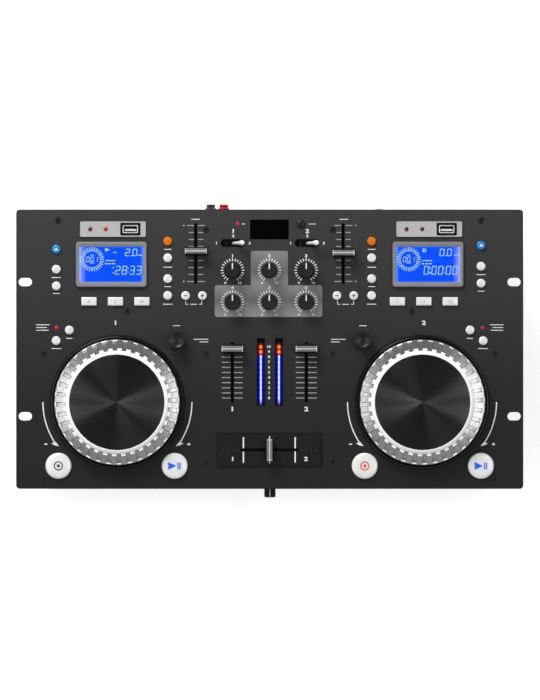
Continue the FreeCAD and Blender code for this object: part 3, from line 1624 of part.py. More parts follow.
def drive_frames():
    """Build both drives and the posts that carry the panel above them."""
    pieces = []
    top = f"{DRIVE_FLOOR} + drive_height"
    for sign in SIDES.values():
        pieces.append(place(bundle(drive_frame()), f"{sign} * drive_x"))
        x, y = f"{sign} * drive_post_x", "drive_post_y"
        post = rod("post_radius", f"{UNDERSIDE} - ({top})", x, y, top)
        bore = rod(SCREW_HOLE, "2 * screw_length", x, y, f"{UNDERSIDE} - screw_length")
        pieces.append(carve(post, [bore]))
    finish("drive_frames", bundle(pieces))


def disc_trays():
    """Build the two trays, open towards the rear round the spindle."""
    front = f"tray_bezel_thickness - {WALL}"
    for side, sign in SIDES.items():
        middle = f"{front} + tray_depth / 2"
        plate = block(TRAY_WIDTH, "tray_depth", "tray_thickness", "0", middle, TRAY_BOTTOM)
        recess_floor = f"{TRAY_TOP} - tray_recess"
        recess = rod(f"{DISC_RADIUS} + disc_gap", "2 * tray_recess", "0", DISC_Y, recess_floor)
        depth = "(tray_recess + tray_well_depth)"
        well = rod("tray_well_radius", f"2 * {depth}", "0", DISC_Y, f"{TRAY_TOP} - {depth}")
        slot_middle = f"{DISC_Y} - tray_slot_width / 2 + tray_depth / 2"
        slot_sizes = ("tray_slot_width", "tray_depth", "2 * tray_thickness")
        slot = block(*slot_sizes, "0", slot_middle, f"{TRAY_BOTTOM} - tray_thickness / 2")
        bed = carve(plate, [join([recess, well, slot])])
        height, thickness = "tray_bezel_height", "tray_bezel_thickness"
        level = f"{TRAY_BOTTOM} + (tray_thickness - {height}) / 2"
        bezel = block(BEZEL_WIDTH, thickness, height, "0", f"{thickness} / 2 - {WALL}", level)
        finish(f"{side}_disc_tray", place(join([bed, bezel]), f"{sign} * drive_x"))


def disc_spindles():
    """Build each spindle: turntable on its shaft, and the clamp puck that hangs in the bridge."""
    motor_floor = "(drive_lift + 2 * drive_sheet)"
    shaft_start = f"({CASE_FLOOR} + {motor_floor} + fit_gap)"
    turntable_bottom = f"({TURNTABLE_TOP} - turntable_thickness)"
    neck_top = f"({BRIDGE_BOTTOM} + bridge_thickness + bridge_gap)"
    puck_top = f"({PUCK_BOTTOM} + puck_thickness)"
    for side, sign in SIDES.items():
        table = turned(f"{side}_turntable", [
            ("0", shaft_start),
            ("spindle_radius", shaft_start),
            ("spindle_radius", turntable_bottom),
            ("turntable_radius", turntable_bottom),
            ("turntable_radius", TURNTABLE_TOP),
            ("hub_radius", TURNTABLE_TOP),
            ("hub_radius - hub_height / 2", f"{TURNTABLE_TOP} + hub_height"),
            ("0", f"{TURNTABLE_TOP} + hub_height"),
        ])
        puck = turned(f"{side}_puck", [
            ("0", PUCK_BOTTOM),
            ("puck_radius", PUCK_BOTTOM),
            ("puck_radius", puck_top),
            ("puck_neck_radius", puck_top),
            ("puck_neck_radius", neck_top),
            ("puck_cap_radius", neck_top),
            ("puck_cap_radius", f"{neck_top} + puck_cap_thickness"),
            ("0", f"{neck_top} + puck_cap_thickness"),
        ])
        spindle = place(bundle([table, puck]), f"{sign} * drive_x", DISC_Y)
        finish(f"{side}_disc_spindle", spindle)


def laser_pickups():
    """Build each pickup's sled, bored for its rods, with the lens on top."""
    level = f"({TRAY_BOTTOM} - pickup_drop - pickup_height)"
    for side, sign in SIDES.items():
        sled = block("pickup_width", "pickup_depth", "pickup_height")
        lens = rod("lens_radius", "lens_height", z="pickup_height")
        bores = []
        for rod_sign in SIDES.values():
            x = f"{rod_sign} * rod_spacing / 2"
            bore_sizes = ("rod_radius + running_gap", "2 * pickup_depth")
            bores.append(rod(*bore_sizes, x, "-pickup_depth", "pickup_height / 2", "y"))
        pickup = carve(join([sled, lens]), bores)
        y = f"{DISC_Y} + pickup_rest"
        finish(f"{side}_laser_pickup", place(pickup, f"{sign} * drive_x", y, level))


# ---------------------------------------------------------------- power and sockets


def power_supply():
    """Build the supply board with its transformer, capacitors and heat sink."""
    board = block("supply_width", "supply_depth", "board_thickness", z="drive_lift")
    pieces = [board]
    for x_sign, y_sign in CORNERS:
        x = f"{x_sign} * (supply_width / 2 - board_margin)"
        y = f"{y_sign} * (supply_depth / 2 - board_margin)"
        pieces.append(rod("post_radius", "drive_lift", x, y))
    level = "drive_lift + board_thickness"
    width, depth, height = (f"transformer_{name}" for name in ("width", "depth", "height"))
    pieces.append(block(width, depth, height, "transformer_offset", "0", level))
    for sign in SIDES.values():
        y = f"{sign} * (capacitor_radius + board_gap)"
        pieces.append(rod("capacitor_radius", "capacitor_height", "capacitor_offset", y, level))
    root = block("heat_sink_width", "fin_depth", "3 * fin_thickness", "heat_sink_offset", "0", level)
    fins = [root]
    for step in range(int(number("fin_count"))):
        x = f"heat_sink_offset + ({step} - (fin_count - 1) / 2) * fin_pitch"
        fins.append(block("fin_thickness", "fin_depth", "heat_sink_height", x, "0", level))
    pieces.append(join(fins))
    finish("power_supply", place(bundle(pieces), "supply_x", "supply_y", CASE_FLOOR))


def rear_shell(width, height, depth):
    """Build an open box with a thin flange that fills a cut-out of the rear wall."""
    outer_width, outer_height = f"({width} + 2 * inlet_wall)", f"({height} + 2 * inlet_wall)"
    middle = f"({WALL} - ({depth}) / 2)"
    shell = block(outer_width, depth, outer_height, "0", middle, f"-{outer_height} / 2")
    thickness = "rear_flange_thickness"
    flange_width = f"({outer_width} + 2 * inlet_flange)"
    flange_height = f"({outer_height} + 2 * inlet_flange)"
    flange_y = f"{WALL} + {thickness} / 2"
    flange = block(flange_width, thickness, flange_height, "0", flange_y, f"-{flange_height} / 2")
    hollow_depth = f"({depth} + 2 * {thickness})"
    hollow_y = f"{middle} + inlet_wall + {thickness}"
    hollow = block(width, hollow_depth, height, "0", hollow_y, f"-({height}) / 2")
    return carve(join([shell, flange]), [hollow])


def mains_inlet():
    """Build the three-pin inlet and the frame of the power switch, in the rear wall."""
    pieces = [rear_shell("inlet_width", "inlet_height", "inlet_depth")]
    length = "(inlet_pin_length + inlet_wall / 2)"
    y = f"{WALL} - inlet_depth + inlet_wall / 2 + {length} / 2"
    for step in (-1, 0, 1):
        x = f"{step} * inlet_pin_spacing"
        level = "0" if step == 0 else "-inlet_pin_height"
        pieces.append(block("inlet_pin_width", length, "inlet_pin_height", x, y, level))
    inlet = place(join(pieces), "inlet_x")
    width = "(rocker_width + 2 * rocker_gap)"
    height = "(2 * rocker_radius + 2 * rocker_gap)"
    depth = "2 * rocker_radius + 2 * rocker_gap + inlet_wall - rocker_rise"
    switch = place(rear_shell(width, height, depth), "rocker_x")
    finish("mains_inlet", place(bundle([inlet, switch]), z=f"{UNDERSIDE} - inlet_drop"))


def power_rocker():
    """Build the power switch's drum-shaped rocker, dished across its face and tipped to off."""
    start = "-rocker_width / 2"
    drum = rod("rocker_radius", "rocker_width", start, along="x")
    dish_y = "rocker_radius - rocker_dish_depth + rocker_dish_radius"
    dish = rod("rocker_dish_radius", "rocker_width", start, dish_y, along="x")
    rocker = turn(carve(drum, [dish]), (1, 0, 0), number("rocker_lean"))
    rocker.setExpression("Placement.Rotation.Angle", full("rocker_lean * 1deg"))
    y = f"{WALL} - rocker_radius + rocker_rise"
    finish("power_rocker", place(rocker, "rocker_x", y, f"{UNDERSIDE} - inlet_drop"))


def front_jack(x):
    """Build one front jack's body and bush, bored for a plug."""
    body_y = f"sheet_thickness - {WALL} + jack_body_depth / 2"
    width = "jack_body_width"
    body = block(width, "jack_body_depth", width, x, body_y, f"-{width} / 2")
    start = f"-{WALL} - jack_bush_rise"
    bush = rod("jack_bush_radius", "jack_bush_rise + 3 * sheet_thickness", x, start, "0", "y")
    bore = rod("jack_bore_radius", "jack_body_depth", x, start, "0", "y")
    return place(carve(join([body, bush]), [bore]), z="-phones_drop")


def phono_block():
    """Build the block of rear sockets: plate, body and bored sleeves."""
    rows = "(phono_rows - 1) * phono_spacing_z"
    margin = "phono_plate_margin"
    height = f"({rows} + 2 * {margin})"
    thickness = "phono_plate_thickness"
    plate_y = f"{WALL} + {thickness} / 2"
    plate = block("phono_plate_width", thickness, height, "0", plate_y, f"-{rows} - {margin}")
    reach = "(phono_radius - fit_gap)"
    width, height = f"phono_spacing_x + 2 * {reach}", f"{rows} + 2 * {reach}"
    body_y = f"{WALL} - phono_body_depth / 2"
    body = block(width, "phono_body_depth", height, "0", body_y, f"-{rows} - {reach}")
    sleeves, bores = [], []
    for sign in SIDES.values():
        for row in range(int(number("phono_rows"))):
            x, z = f"{sign} * phono_spacing_x / 2", f"-{row} * phono_spacing_z"
            sleeves.append(rod("phono_radius", "phono_reach", x, WALL, z, "y"))
            bores.append(rod("phono_bore_radius", "2 * phono_reach", x, WALL, z, "y"))
    return place(carve(join([plate, body] + sleeves), bores), "phono_x", z="-phono_drop")


def earth_terminal():
    """Build the earth terminal: its knob and the stud through the rear wall."""
    knob_end = rod("earth_radius", "earth_reach", "0", WALL, "0", "y")
    start = f"{WALL} - phono_body_depth / 2"
    stud = rod("earth_radius / 2", "phono_body_depth / 2 + earth_reach / 2", "0", start, "0", "y")
    return place(join([knob_end, stud]), "earth_x", z="-phono_drop")


def jack_sockets():
    """Build the front jacks, the rear phono sockets and the earth terminal."""
    pieces = [front_jack(f"{sign} * jack_x") for sign in SIDES.values()]
    pieces += [phono_block(), earth_terminal()]
    finish("jack_sockets", place(bundle(pieces), z=UNDERSIDE))


# ---------------------------------------------------------------- document


def check_features():
    """Stop if any object failed, any cut removed nothing or any sub-part is unsound."""
    for thing in DOC.Objects:
        if {"Invalid", "Error"} & set(thing.State):
            raise RuntimeError(f"{thing.Label} failed: {thing.State}")
        if thing.TypeId == "PartDesign::Pocket":
            if thing.Shape.Volume > thing.BaseFeature.Shape.Volume - 1e-3:
                raise RuntimeError(f"{thing.Label} removes nothing")
    for part in SUB_PARTS:
        if part.Shape.isNull() or not part.Shape.isValid() or not part.Shape.Solids:
            raise RuntimeError(f"{part.Label} is not a sound solid")


def main():
    """Build the console and write each sub-part to its file."""
    fill_sheet()
    top_panel()
    panel_screws()
    case_floor()
    case_walls()
    rubber_feet()
    display_bezels()
    display_windows()
    usb_plates()
    usb_sockets()
    crossfader_plate()
    indicator_lights()
    jog_bases()
    jog_wheels()
    key_strips()
    loop_keys()
    single_keys()
    fader_caps()
    mixer_knobs()
    track_knobs()
    phones_knob()
    control_bodies()
    source_toggles()
    circuit_boards()
    drive_frames()
    disc_trays()
    disc_spindles()
    laser_pickups()
    power_supply()
    mains_inlet()
    power_rocker()
    jack_sockets()
    DOC.recompute()
    check_features()
    os.makedirs("parts", exist_ok=True)
    for part in SUB_PARTS:
        part.Shape.exportStep(f"parts/{part.Label}.step")


main()
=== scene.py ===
"""Looks of a two-deck disc player and mixer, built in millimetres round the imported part."""

import logging
import math
from collections.abc import Callable, Iterable, Sequence
from dataclasses import dataclass
from enum import Enum
from typing import ClassVar

import bmesh
import bpy
from mathutils import Matrix, Vector


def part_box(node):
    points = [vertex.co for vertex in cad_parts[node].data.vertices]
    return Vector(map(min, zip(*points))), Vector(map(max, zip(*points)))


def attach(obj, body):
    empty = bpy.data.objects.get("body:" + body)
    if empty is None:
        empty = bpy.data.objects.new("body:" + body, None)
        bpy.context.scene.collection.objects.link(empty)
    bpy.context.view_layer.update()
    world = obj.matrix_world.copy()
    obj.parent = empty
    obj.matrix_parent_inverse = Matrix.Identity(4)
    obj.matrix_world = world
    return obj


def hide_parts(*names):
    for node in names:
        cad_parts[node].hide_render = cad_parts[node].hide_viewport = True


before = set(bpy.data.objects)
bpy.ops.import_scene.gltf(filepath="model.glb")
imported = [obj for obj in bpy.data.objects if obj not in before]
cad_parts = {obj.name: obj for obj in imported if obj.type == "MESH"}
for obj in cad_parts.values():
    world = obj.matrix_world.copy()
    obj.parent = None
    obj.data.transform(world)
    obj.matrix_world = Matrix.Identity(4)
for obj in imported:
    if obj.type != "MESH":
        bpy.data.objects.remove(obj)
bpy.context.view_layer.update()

LOG = logging.getLogger("console")
Flat = tuple[float, float]
Point = tuple[float, float, float]
Colour = tuple[float, float, float]
Socket = bpy.types.NodeSocket

MM = 0.001
ROOT = "console"
TOP = 92.0  # the panel's upper face
UNDERSIDE = 90.0  # the panel's lower face
WALL = 131.95  # from the middle to the outer faces of the front and rear walls
FRONT_AXIS = 66.0  # height of the axes of the front jacks and knob
SINK = -1.8  # how deep the keys reach into the panel
PLATE_RISE = 1.5  # how far the crossfader's and the ports' plates stand proud
PRINT = (-0.03, 0.05)  # lower and upper level of everything printed
WINDOW = (-1.9, 0.28)  # lower and upper level of the windows
FIGURE = (2.26, 2.36)  # lower and upper level of the displays' figures
JOG = (144.9, -50.4)  # middle of the right jog wheel
SCREEN = (150.6, 80.6)  # middle of the right display
SCREEN_SIZE = (60.8, 33.4)
PITCH_X = 70.15  # middle of the panel to each pitch fader
CHANNEL_X = 35.2  # middle of the mixer to each channel fader
TOGGLE_X = 35.25  # middle of the switches to each source switch
MIXER_MIDDLE = -0.35
TOGGLE_MIDDLE = 0.55
KNOB_X = (-35.35, -0.35, 34.65)
KNOB_Y = (75.1, 44.9)
FLAT_ANGLE = 32.0  # faces that meet at less than this are shaded as one


class Side(Enum):
    """The two decks, each with the sign of its place along X."""

    LEFT = -1
    RIGHT = 1

    @property
    def label(self) -> str:
        """Give the word that starts the deck's node names."""
        return self.name.lower()

    def at(self, distance: float) -> float:
        """Give the place along X on this side, at a distance from the middle."""
        return self.value * distance


class Axis(Enum):
    """The three axes that a shape may be turned about."""

    X = (1.0, 0.0, 0.0)
    Y = (0.0, 1.0, 0.0)
    Z = (0.0, 0.0, 1.0)


# ---------------------------------------------------------------- shapes


class Form:
    """One or more closed shapes in the making, in millimetres."""

    def __init__(self) -> None:
        """Start with nothing."""
        self.mesh = bmesh.new()

    def closed(self) -> "Form":
        """Weld the poles and the joins and point every face outwards."""
        bmesh.ops.remove_doubles(self.mesh, verts=self.mesh.verts, dist=1e-4)
        bmesh.ops.recalc_face_normals(self.mesh, faces=self.mesh.faces)
        return self

    def moved(self, x: float = 0.0, y: float = 0.0, z: float = 0.0) -> "Form":
        """Shift the shape."""
        bmesh.ops.translate(self.mesh, vec=(x, y, z), verts=self.mesh.verts)
        return self

    def turned(self, degrees: float, axis: Axis = Axis.Z) -> "Form":
        """Turn the shape about an axis through the origin."""
        rotation = Matrix.Rotation(math.radians(degrees), 3, Vector(axis.value))
        bmesh.ops.rotate(self.mesh, cent=(0, 0, 0), matrix=rotation, verts=self.mesh.verts)
        return self

    def softened(self, width: float, segments: int = 2, angle: float = 30.0) -> "Form":
        """Round the edges where faces meet at more than an angle."""
        limit = math.radians(angle)
        edges = [e for e in self.mesh.edges if len(e.link_faces) == 2 and e.calc_face_angle(0.0) > limit]
        bmesh.ops.bevel(self.mesh, geom=edges, offset=width, offset_type="OFFSET", segments=segments, profile=0.5,
                        affect="EDGES", material=-1, clamp_overlap=True)
        return self

    def shaped(self, change: Callable[[Vector], Vector]) -> "Form":
        """Move every vertex to where a function of its place says."""
        for vert in self.mesh.verts:
            vert.co = change(vert.co.copy())
        return self

    def swelled(self, share: Callable[[float, float], float]) -> "Form":
        """Scale each vertex's distance from the axis by a share, worked out from its distance and angle."""
        def change(place: Vector) -> Vector:
            factor = share(math.hypot(place.x, place.y), math.atan2(place.y, place.x))
            return Vector((place.x * factor, place.y * factor, place.z))

        return self.shaped(change)

    def raised(self, chosen: Callable[[Vector], bool], height: float) -> "Form":
        """Extrude the faces whose middle is chosen straight up.

        Args:
            chosen: Says of a face's middle whether the face is lifted.
            height: How far the faces go up.

        Returns:
            The same form.
        """
        faces = [f for f in self.mesh.faces if f.normal.z > 0.5 and chosen(f.calc_center_median())]
        lifted = bmesh.ops.extrude_face_region(self.mesh, geom=faces)
        bmesh.ops.delete(self.mesh, geom=faces, context="FACES_ONLY")
        verts = [v for v in lifted["geom"] if isinstance(v, bmesh.types.BMVert)]
        bmesh.ops.translate(self.mesh, vec=(0, 0, height), verts=verts)
        return self

    def plus(self, *others: "Form") -> "Form":
        """Take other shapes into this one and use them up."""
        for other in others:
            carrier = bpy.data.meshes.new("carrier")
            other.mesh.to_mesh(carrier)
            other.mesh.free()
            self.mesh.from_mesh(carrier)
            bpy.data.meshes.remove(carrier)
        return self

    def piece(self, name: str, finish: "Finish", body: str = ROOT, slot: str = "black_plastic",
              replaces: Sequence[str] = ()) -> bpy.types.Object:
        """Make the finished object, which rides on a body.

        Args:
            name: The piece's name.
            finish: What it is made of.
            body: The body that carries it.
            slot: The record's material slot that it stands for; it is not used.
            replaces: The nodes that it is shown in place of.

        Returns:
            The object, at the origin, with its place in its mesh.
        """
        mesh = bpy.data.meshes.new(name)
        bmesh.ops.scale(self.mesh, vec=(MM, MM, MM), verts=self.mesh.verts)
        self.mesh.to_mesh(mesh)
        self.mesh.free()
        mesh.shade_smooth()
        mesh.set_sharp_from_angle(angle=math.radians(FLAT_ANGLE))
        mesh.materials.append(finish.material())
        thing = bpy.data.objects.new(name, mesh)
        bpy.context.scene.collection.objects.link(thing)
        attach(thing, body)
        if replaces:
            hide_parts(*replaces)
        LOG.info("%s: %d faces on %s", name, len(mesh.polygons), body)
        return thing


def group(shapes: Iterable[Form]) -> Form:
    """Put several shapes into one form."""
    return Form().plus(*shapes)


def lathe(profile: Sequence[Flat], steps: int = 64, ring: bool = False) -> Form:
    """Spin an outline of radius and height once round the upright axis.

    Args:
        profile: The outline's points, from the axis back to the axis, or all round for a ring.
        steps: How many facets go round.
        ring: Whether the outline's last point joins its first.

    Returns:
        The turned shape.
    """
    form = Form()
    verts = [form.mesh.verts.new((radius, 0.0, height)) for radius, height in profile]
    followers = verts[1:] + verts[:1] if ring else verts[1:]
    edges = [form.mesh.edges.new(pair) for pair in zip(verts, followers)]
    bmesh.ops.spin(form.mesh, geom=verts + edges, cent=(0, 0, 0), axis=(0, 0, 1), angle=math.tau,
                   steps=steps, use_merge=True, use_duplicate=False)
    return form.closed()


def block(width: float, depth: float, low: float, high: float) -> Form:
    """Make a box that is centred on the upright axis."""
    form = Form()
    bmesh.ops.create_cube(form.mesh, size=1.0)
    bmesh.ops.scale(form.mesh, vec=(width, depth, high - low), verts=form.mesh.verts)
    return form.moved(z=(low + high) / 2)


def prism(outline: Sequence[Flat], low: float, high: float) -> Form:
    """Extrude a flat outline upwards."""
    form = Form()
    face = form.mesh.faces.new([form.mesh.verts.new((x, y, low)) for x, y in outline])
    grown = bmesh.ops.extrude_face_region(form.mesh, geom=[face], use_keep_orig=True)
    verts = [v for v in grown["geom"] if isinstance(v, bmesh.types.BMVert)]
    bmesh.ops.translate(form.mesh, vec=(0, 0, high - low), verts=verts)
    return form.closed()


def bar(profile: Sequence[Flat], length: float) -> Form:
    """Extrude an outline of depth and height along X, centred on it."""
    form = prism(profile, -length / 2, length / 2)
    return form.shaped(lambda p: Vector((p.z, p.x, p.y))).closed()


def rounded(width: float, depth: float, radius: float, corner_steps: int = 6) -> list[Flat]:
    """Give the outline of a rectangle with round corners, anticlockwise."""
    outline = []
    for corner, (x_sign, y_sign) in enumerate(((1, 1), (-1, 1), (-1, -1), (1, -1))):
        for step in range(corner_steps + 1):
            angle = math.radians(90 * (corner + step / corner_steps))
            x = x_sign * (width / 2 - radius) + radius * math.cos(angle)
            y = y_sign * (depth / 2 - radius) + radius * math.sin(angle)
            outline.append((x, y))
    return outline


def loft(sections: Sequence[tuple[float, float, float, float]], hollow: bool = False) -> Form:
    """Bridge rounded rectangles, one above another.

    Args:
        sections: Width, depth, corner radius and height of each.
        hollow: Whether the last section joins the first, as in a frame. Neighbours differ in height.

    Returns:
        The shape, closed at both ends unless it is hollow.
    """
    form = Form()
    loops = []
    for width, depth, radius, height in sections:
        verts = [form.mesh.verts.new((x, y, height)) for x, y in rounded(width, depth, radius)]
        loops.append([form.mesh.edges.new(pair) for pair in zip(verts, verts[1:] + verts[:1])])
    following = loops[1:] + loops[:1] if hollow else loops[1:]
    for lower, upper in zip(loops, following):
        bmesh.ops.bridge_loops(form.mesh, edges=lower + upper)
    if not hollow:
        bmesh.ops.holes_fill(form.mesh, edges=loops[0] + loops[-1], sides=0)
    return form.closed()


def arc(radius: float, width: float, start: float, sweep: float, low: float, high: float) -> Form:
    """Make a flat strip that follows part of a circle, from a start angle through a sweep, in degrees."""
    form = Form()
    corners = [(radius - width / 2, low), (radius + width / 2, low), (radius + width / 2, high),
               (radius - width / 2, high)]
    face = form.mesh.faces.new([form.mesh.verts.new((r, 0.0, z)) for r, z in corners])
    bmesh.ops.spin(form.mesh, geom=[face], cent=(0, 0, 0), axis=(0, 0, 1), angle=math.radians(sweep),
                   steps=28, use_merge=False, use_duplicate=False)
    return form.closed().turned(start)


def glyphs(text: str, height: float, low: float = PRINT[0], high: float = PRINT[1], stretch: float = 1.35,
           weight: float = 0.035) -> Form:
    """Make figures of a height, centred on the origin.

    Args:
        text: The figures or signs.
        height: Their height.
        low: The level of their lower faces.
        high: The level of their upper faces.
        stretch: How much wider than usual they are.
        weight: How much bolder than usual they are.

    Returns:
        The figures as thin solids.
    """
    curve = bpy.data.curves.new("figures", "FONT")
    curve.body = text
    curve.size = 1.0
    curve.resolution_u = 3
    curve.offset = weight
    curve.extrude = 0.5
    holder = bpy.data.objects.new("figures", curve)
    mesh = bpy.data.meshes.new_from_object(holder)
    form = Form()
    form.mesh.from_mesh(mesh)
    bpy.data.objects.remove(holder)
    bpy.data.curves.remove(curve)
    bpy.data.meshes.remove(mesh)
    xs = [v.co.x for v in form.mesh.verts]
    ys = [v.co.y for v in form.mesh.verts]
    size = height / max(max(ys) - min(ys), 0.35)
    form.moved(-(min(xs) + max(xs)) / 2, -(min(ys) + max(ys)) / 2)
    bmesh.ops.scale(form.mesh, vec=(size * stretch, size, high - low), verts=form.mesh.verts)
    return form.moved(z=(low + high) / 2).closed()


def fluted(form: Form, radius: float, depth: float, count: int) -> Form:
    """Press flutes into the outermost wall of a turned shape."""
    return form.swelled(
        lambda reach, angle: 1 - depth * (0.5 - 0.5 * math.cos(count * angle)) / reach if reach >= radius else 1.0)


def inset(radius: float, height: float, steps: Sequence[Flat]) -> list[Flat]:
    """Give the points of an outline that lie inwards of a radius and below a height."""
    return [(radius - inwards, height - down) for inwards, down in steps]


# ---------------------------------------------------------------- finishes


class Nodes:
    """The node graph of a material or of the sky."""

    def __init__(self, tree: bpy.types.NodeTree) -> None:
        """Start with an empty graph."""
        self.tree = tree
        tree.nodes.clear()

    def add(self, kind: str, inputs: dict[str | int, object], **settings: object) -> bpy.types.Node:
        """Add a shader node, with its settings and with its inputs set or linked."""
        node = self.tree.nodes.new(f"ShaderNode{kind}")
        for name, value in settings.items():
            setattr(node, name, value)
        self.feed(node, inputs)
        return node

    def feed(self, node: bpy.types.Node, inputs: dict[str | int, object]) -> None:
        """Link sockets to a node's inputs, or set the inputs' values."""
        for name, value in inputs.items():
            if isinstance(value, Socket):
                self.tree.links.new(value, node.inputs[name])
            else:
                node.inputs[name].default_value = value

    def sum(self, operation: str, *values: object) -> Socket:
        """Work out a sum of sockets and numbers."""
        return self.add("Math", dict(enumerate(values)), operation=operation).outputs[0]

    def share(self, value: Socket, start: float, end: float, low: float = 0.0,
              high: float = 1.0) -> Socket:
        """Map a value that runs from start to end onto the range from low to high."""
        limits = {"Value": value, "From Min": start, "From Max": end, "To Min": low, "To Max": high}
        return self.add("MapRange", limits).outputs[0]

    def mix(self, factor: object, first: object, second: object, blend: str = "MIX") -> Socket:
        """Mix two colours."""
        inputs = {0: factor, 6: first, 7: second}
        return self.add("Mix", inputs, data_type="RGBA", blend_type=blend).outputs[2]

    def ramp(self, share: Socket, stops: Sequence[tuple[float, Colour]]) -> Socket:
        """Turn a share into a colour by stops."""
        node = self.add("ValToRGB", {0: share})
        elements = node.color_ramp.elements
        elements.remove(elements[1])
        elements[0].position = stops[0][0]
        for position, _ in stops[1:]:
            elements.new(position)
        for element, (_, colour) in zip(elements, stops):
            element.color = (*colour, 1.0)
        return node.outputs[0]


class Graph(Nodes):
    """The node graph of one material, with one principled surface."""

    def __init__(self, name: str) -> None:
        """Start the material."""
        self.material = bpy.data.materials.new(name)
        self.material.use_nodes = True
        super().__init__(self.material.node_tree)
        self.surface = self.add("BsdfPrincipled", {})
        output = self.add("OutputMaterial", {"Surface": self.surface.outputs[0]})
        output.is_active_output = True
        self.place = self.add("TexCoord", {}).outputs["Object"]

    def look(self, inputs: dict[str | int, object]) -> None:
        """Set or link the surface's inputs."""
        self.feed(self.surface, inputs)

    def coordinate(self, axis: Axis) -> Socket:
        """Give a point's coordinate along an axis."""
        return self.add("SeparateXYZ", {0: self.place}).outputs[axis.name]

    def along(self, axis: Axis, start: float, end: float) -> Socket:
        """Give how far a point is from one coordinate, in millimetres, to another, from 0 to 1."""
        return self.share(self.coordinate(axis), start * MM, end * MM)

    def noise(self, size: float, detail: float, stretch: Point) -> Socket:
        """Give soft noise whose grains have a size in millimetres."""
        scaled = self.add("Mapping", {"Vector": self.place, "Scale": stretch})
        inputs = {"Vector": scaled.outputs[0], "Scale": 1 / (size * MM), "Detail": detail}
        return self.add("TexNoise", inputs).outputs["Fac"]


MADE: dict[str, bpy.types.Material] = {}


@dataclass(frozen=True)
class Finish:
    """A moulded, painted or plated finish with a fine grain and a faint mottle."""

    name: str
    colour: Colour
    roughness: float = 0.5
    metallic: float = 0.0
    coat: float = 0.0
    grain: float = 0.0
    grain_size: float = 0.5
    mottle: float = 0.08
    mottle_size: float = 18.0
    stretch: Point = (1.0, 1.0, 1.0)
    glow: float = 0.0
    shine: float = 0.5

    def material(self) -> bpy.types.Material:
        """Give the material, made once."""
        if self.name not in MADE:
            graph = Graph(self.name)
            self.paint(graph)
            MADE[self.name] = graph.material
        return MADE[self.name]

    def paint(self, graph: Graph) -> None:
        """Set up the surface: colour, gloss, grain and glow."""
        dark, light = (tuple(min(1.0, part * share) for part in self.colour)
                       for share in (1 - self.mottle, 1 + self.mottle))
        mottle = graph.noise(self.mottle_size, 4.0, self.stretch)
        fine = graph.noise(self.grain_size, 2.0, self.stretch)
        graph.look({
            "Metallic": self.metallic, "Specular IOR Level": self.shine,
            "Coat Weight": self.coat, "Coat Roughness": 0.08,
            "Base Color": graph.ramp(mottle, ((0.35, dark), (0.65, light))),
            "Roughness": graph.share(fine, 0.0, 1.0, self.roughness * 0.86, min(1.0, self.roughness * 1.14)),
        })
        if self.grain:
            bump = {"Height": fine, "Strength": self.grain, "Distance": 0.12 * self.grain_size * MM}
            graph.look({"Normal": graph.add("Bump", bump).outputs[0]})
        if self.glow:
            graph.look({"Emission Color": (*self.colour, 1.0), "Emission Strength": self.glow})


@dataclass(frozen=True)
class TurnedFinish(Finish):
    """A face cut on a lathe: fine rings round a centre, which spread a highlight into rays."""

    centre: Flat = (0.0, 0.0)
    anisotropy: float = 1.0
    ring_pitch: float = 1.1

    def paint(self, graph: Graph) -> None:
        """Add the rings and the direction of the cut."""
        super().paint(graph)
        middle = (self.centre[0] * MM, self.centre[1] * MM, 0.0)
        arm = graph.add("VectorMath", {0: graph.place, 1: middle}, operation="SUBTRACT").outputs[0]
        turned = graph.add("VectorTransform", {0: arm}, vector_type="VECTOR", convert_from="OBJECT",
                           convert_to="WORLD")
        parts = graph.add("SeparateXYZ", {0: arm}).outputs
        flat = graph.add("CombineXYZ", {0: parts[0], 1: parts[1]}).outputs[0]
        reach = graph.add("VectorMath", {0: flat}, operation="LENGTH").outputs["Value"]
        wave = graph.sum("SINE", graph.sum("MULTIPLY", reach, math.tau / (self.ring_pitch * MM)))
        graph.look({"Tangent": turned.outputs[0], "Anisotropic": self.anisotropy,
                    "Roughness": graph.share(wave, -1.0, 1.0, self.roughness * 0.92, self.roughness * 1.08)})


@dataclass(frozen=True)
class BandedPrint(Finish):
    """A coat or a printed field whose grey runs through bands from front to rear, as painted light and shade."""

    front: float = 0.0
    rear: float = 1.0
    bands: tuple[Flat, ...] = ()

    def paint(self, graph: Graph) -> None:
        """Lay the painted bands of light and shade over the plain finish."""
        super().paint(graph)
        stops = [(position, (grey, grey, grey * 1.01)) for position, grey in self.bands]
        graph.look({"Base Color": graph.ramp(graph.along(Axis.Y, self.front, self.rear), stops)})


@dataclass(frozen=True)
class LitDisplay(Finish):
    """A backlit blue display whose light is strongest at its outer end, where its lamp is."""

    middle: Flat = (0.0, 0.0)
    outward: int = -1

    def paint(self, graph: Graph) -> None:
        """Light the display from behind."""
        super().paint(graph)
        (x, y), (width, depth) = self.middle, SCREEN_SIZE
        blue, pale, deep = (0.0, 0.075, 1.0), (0.42, 0.50, 1.0), (0.01, 0.14, 1.0)
        reach = self.outward * width / 2
        sideways = graph.ramp(graph.along(Axis.X, x + reach, x - reach),
                              ((0.0, pale), (0.035, (0.16, 0.26, 1.0)), (0.11, blue), (0.955, blue),
                               (1.0, (0.10, 0.30, 1.0))))
        lift = graph.ramp(graph.along(Axis.Y, y - depth / 2, y + depth / 2),
                          ((0.0, (0.05, 0.1, 0.0)), (0.06, (0.0, 0.0, 0.0)), (0.95, (0.0, 0.0, 0.0)), (1.0, deep)))
        graph.look({"Emission Color": graph.mix(0.35, sideways, lift, "ADD"), "Emission Strength": 1.0})


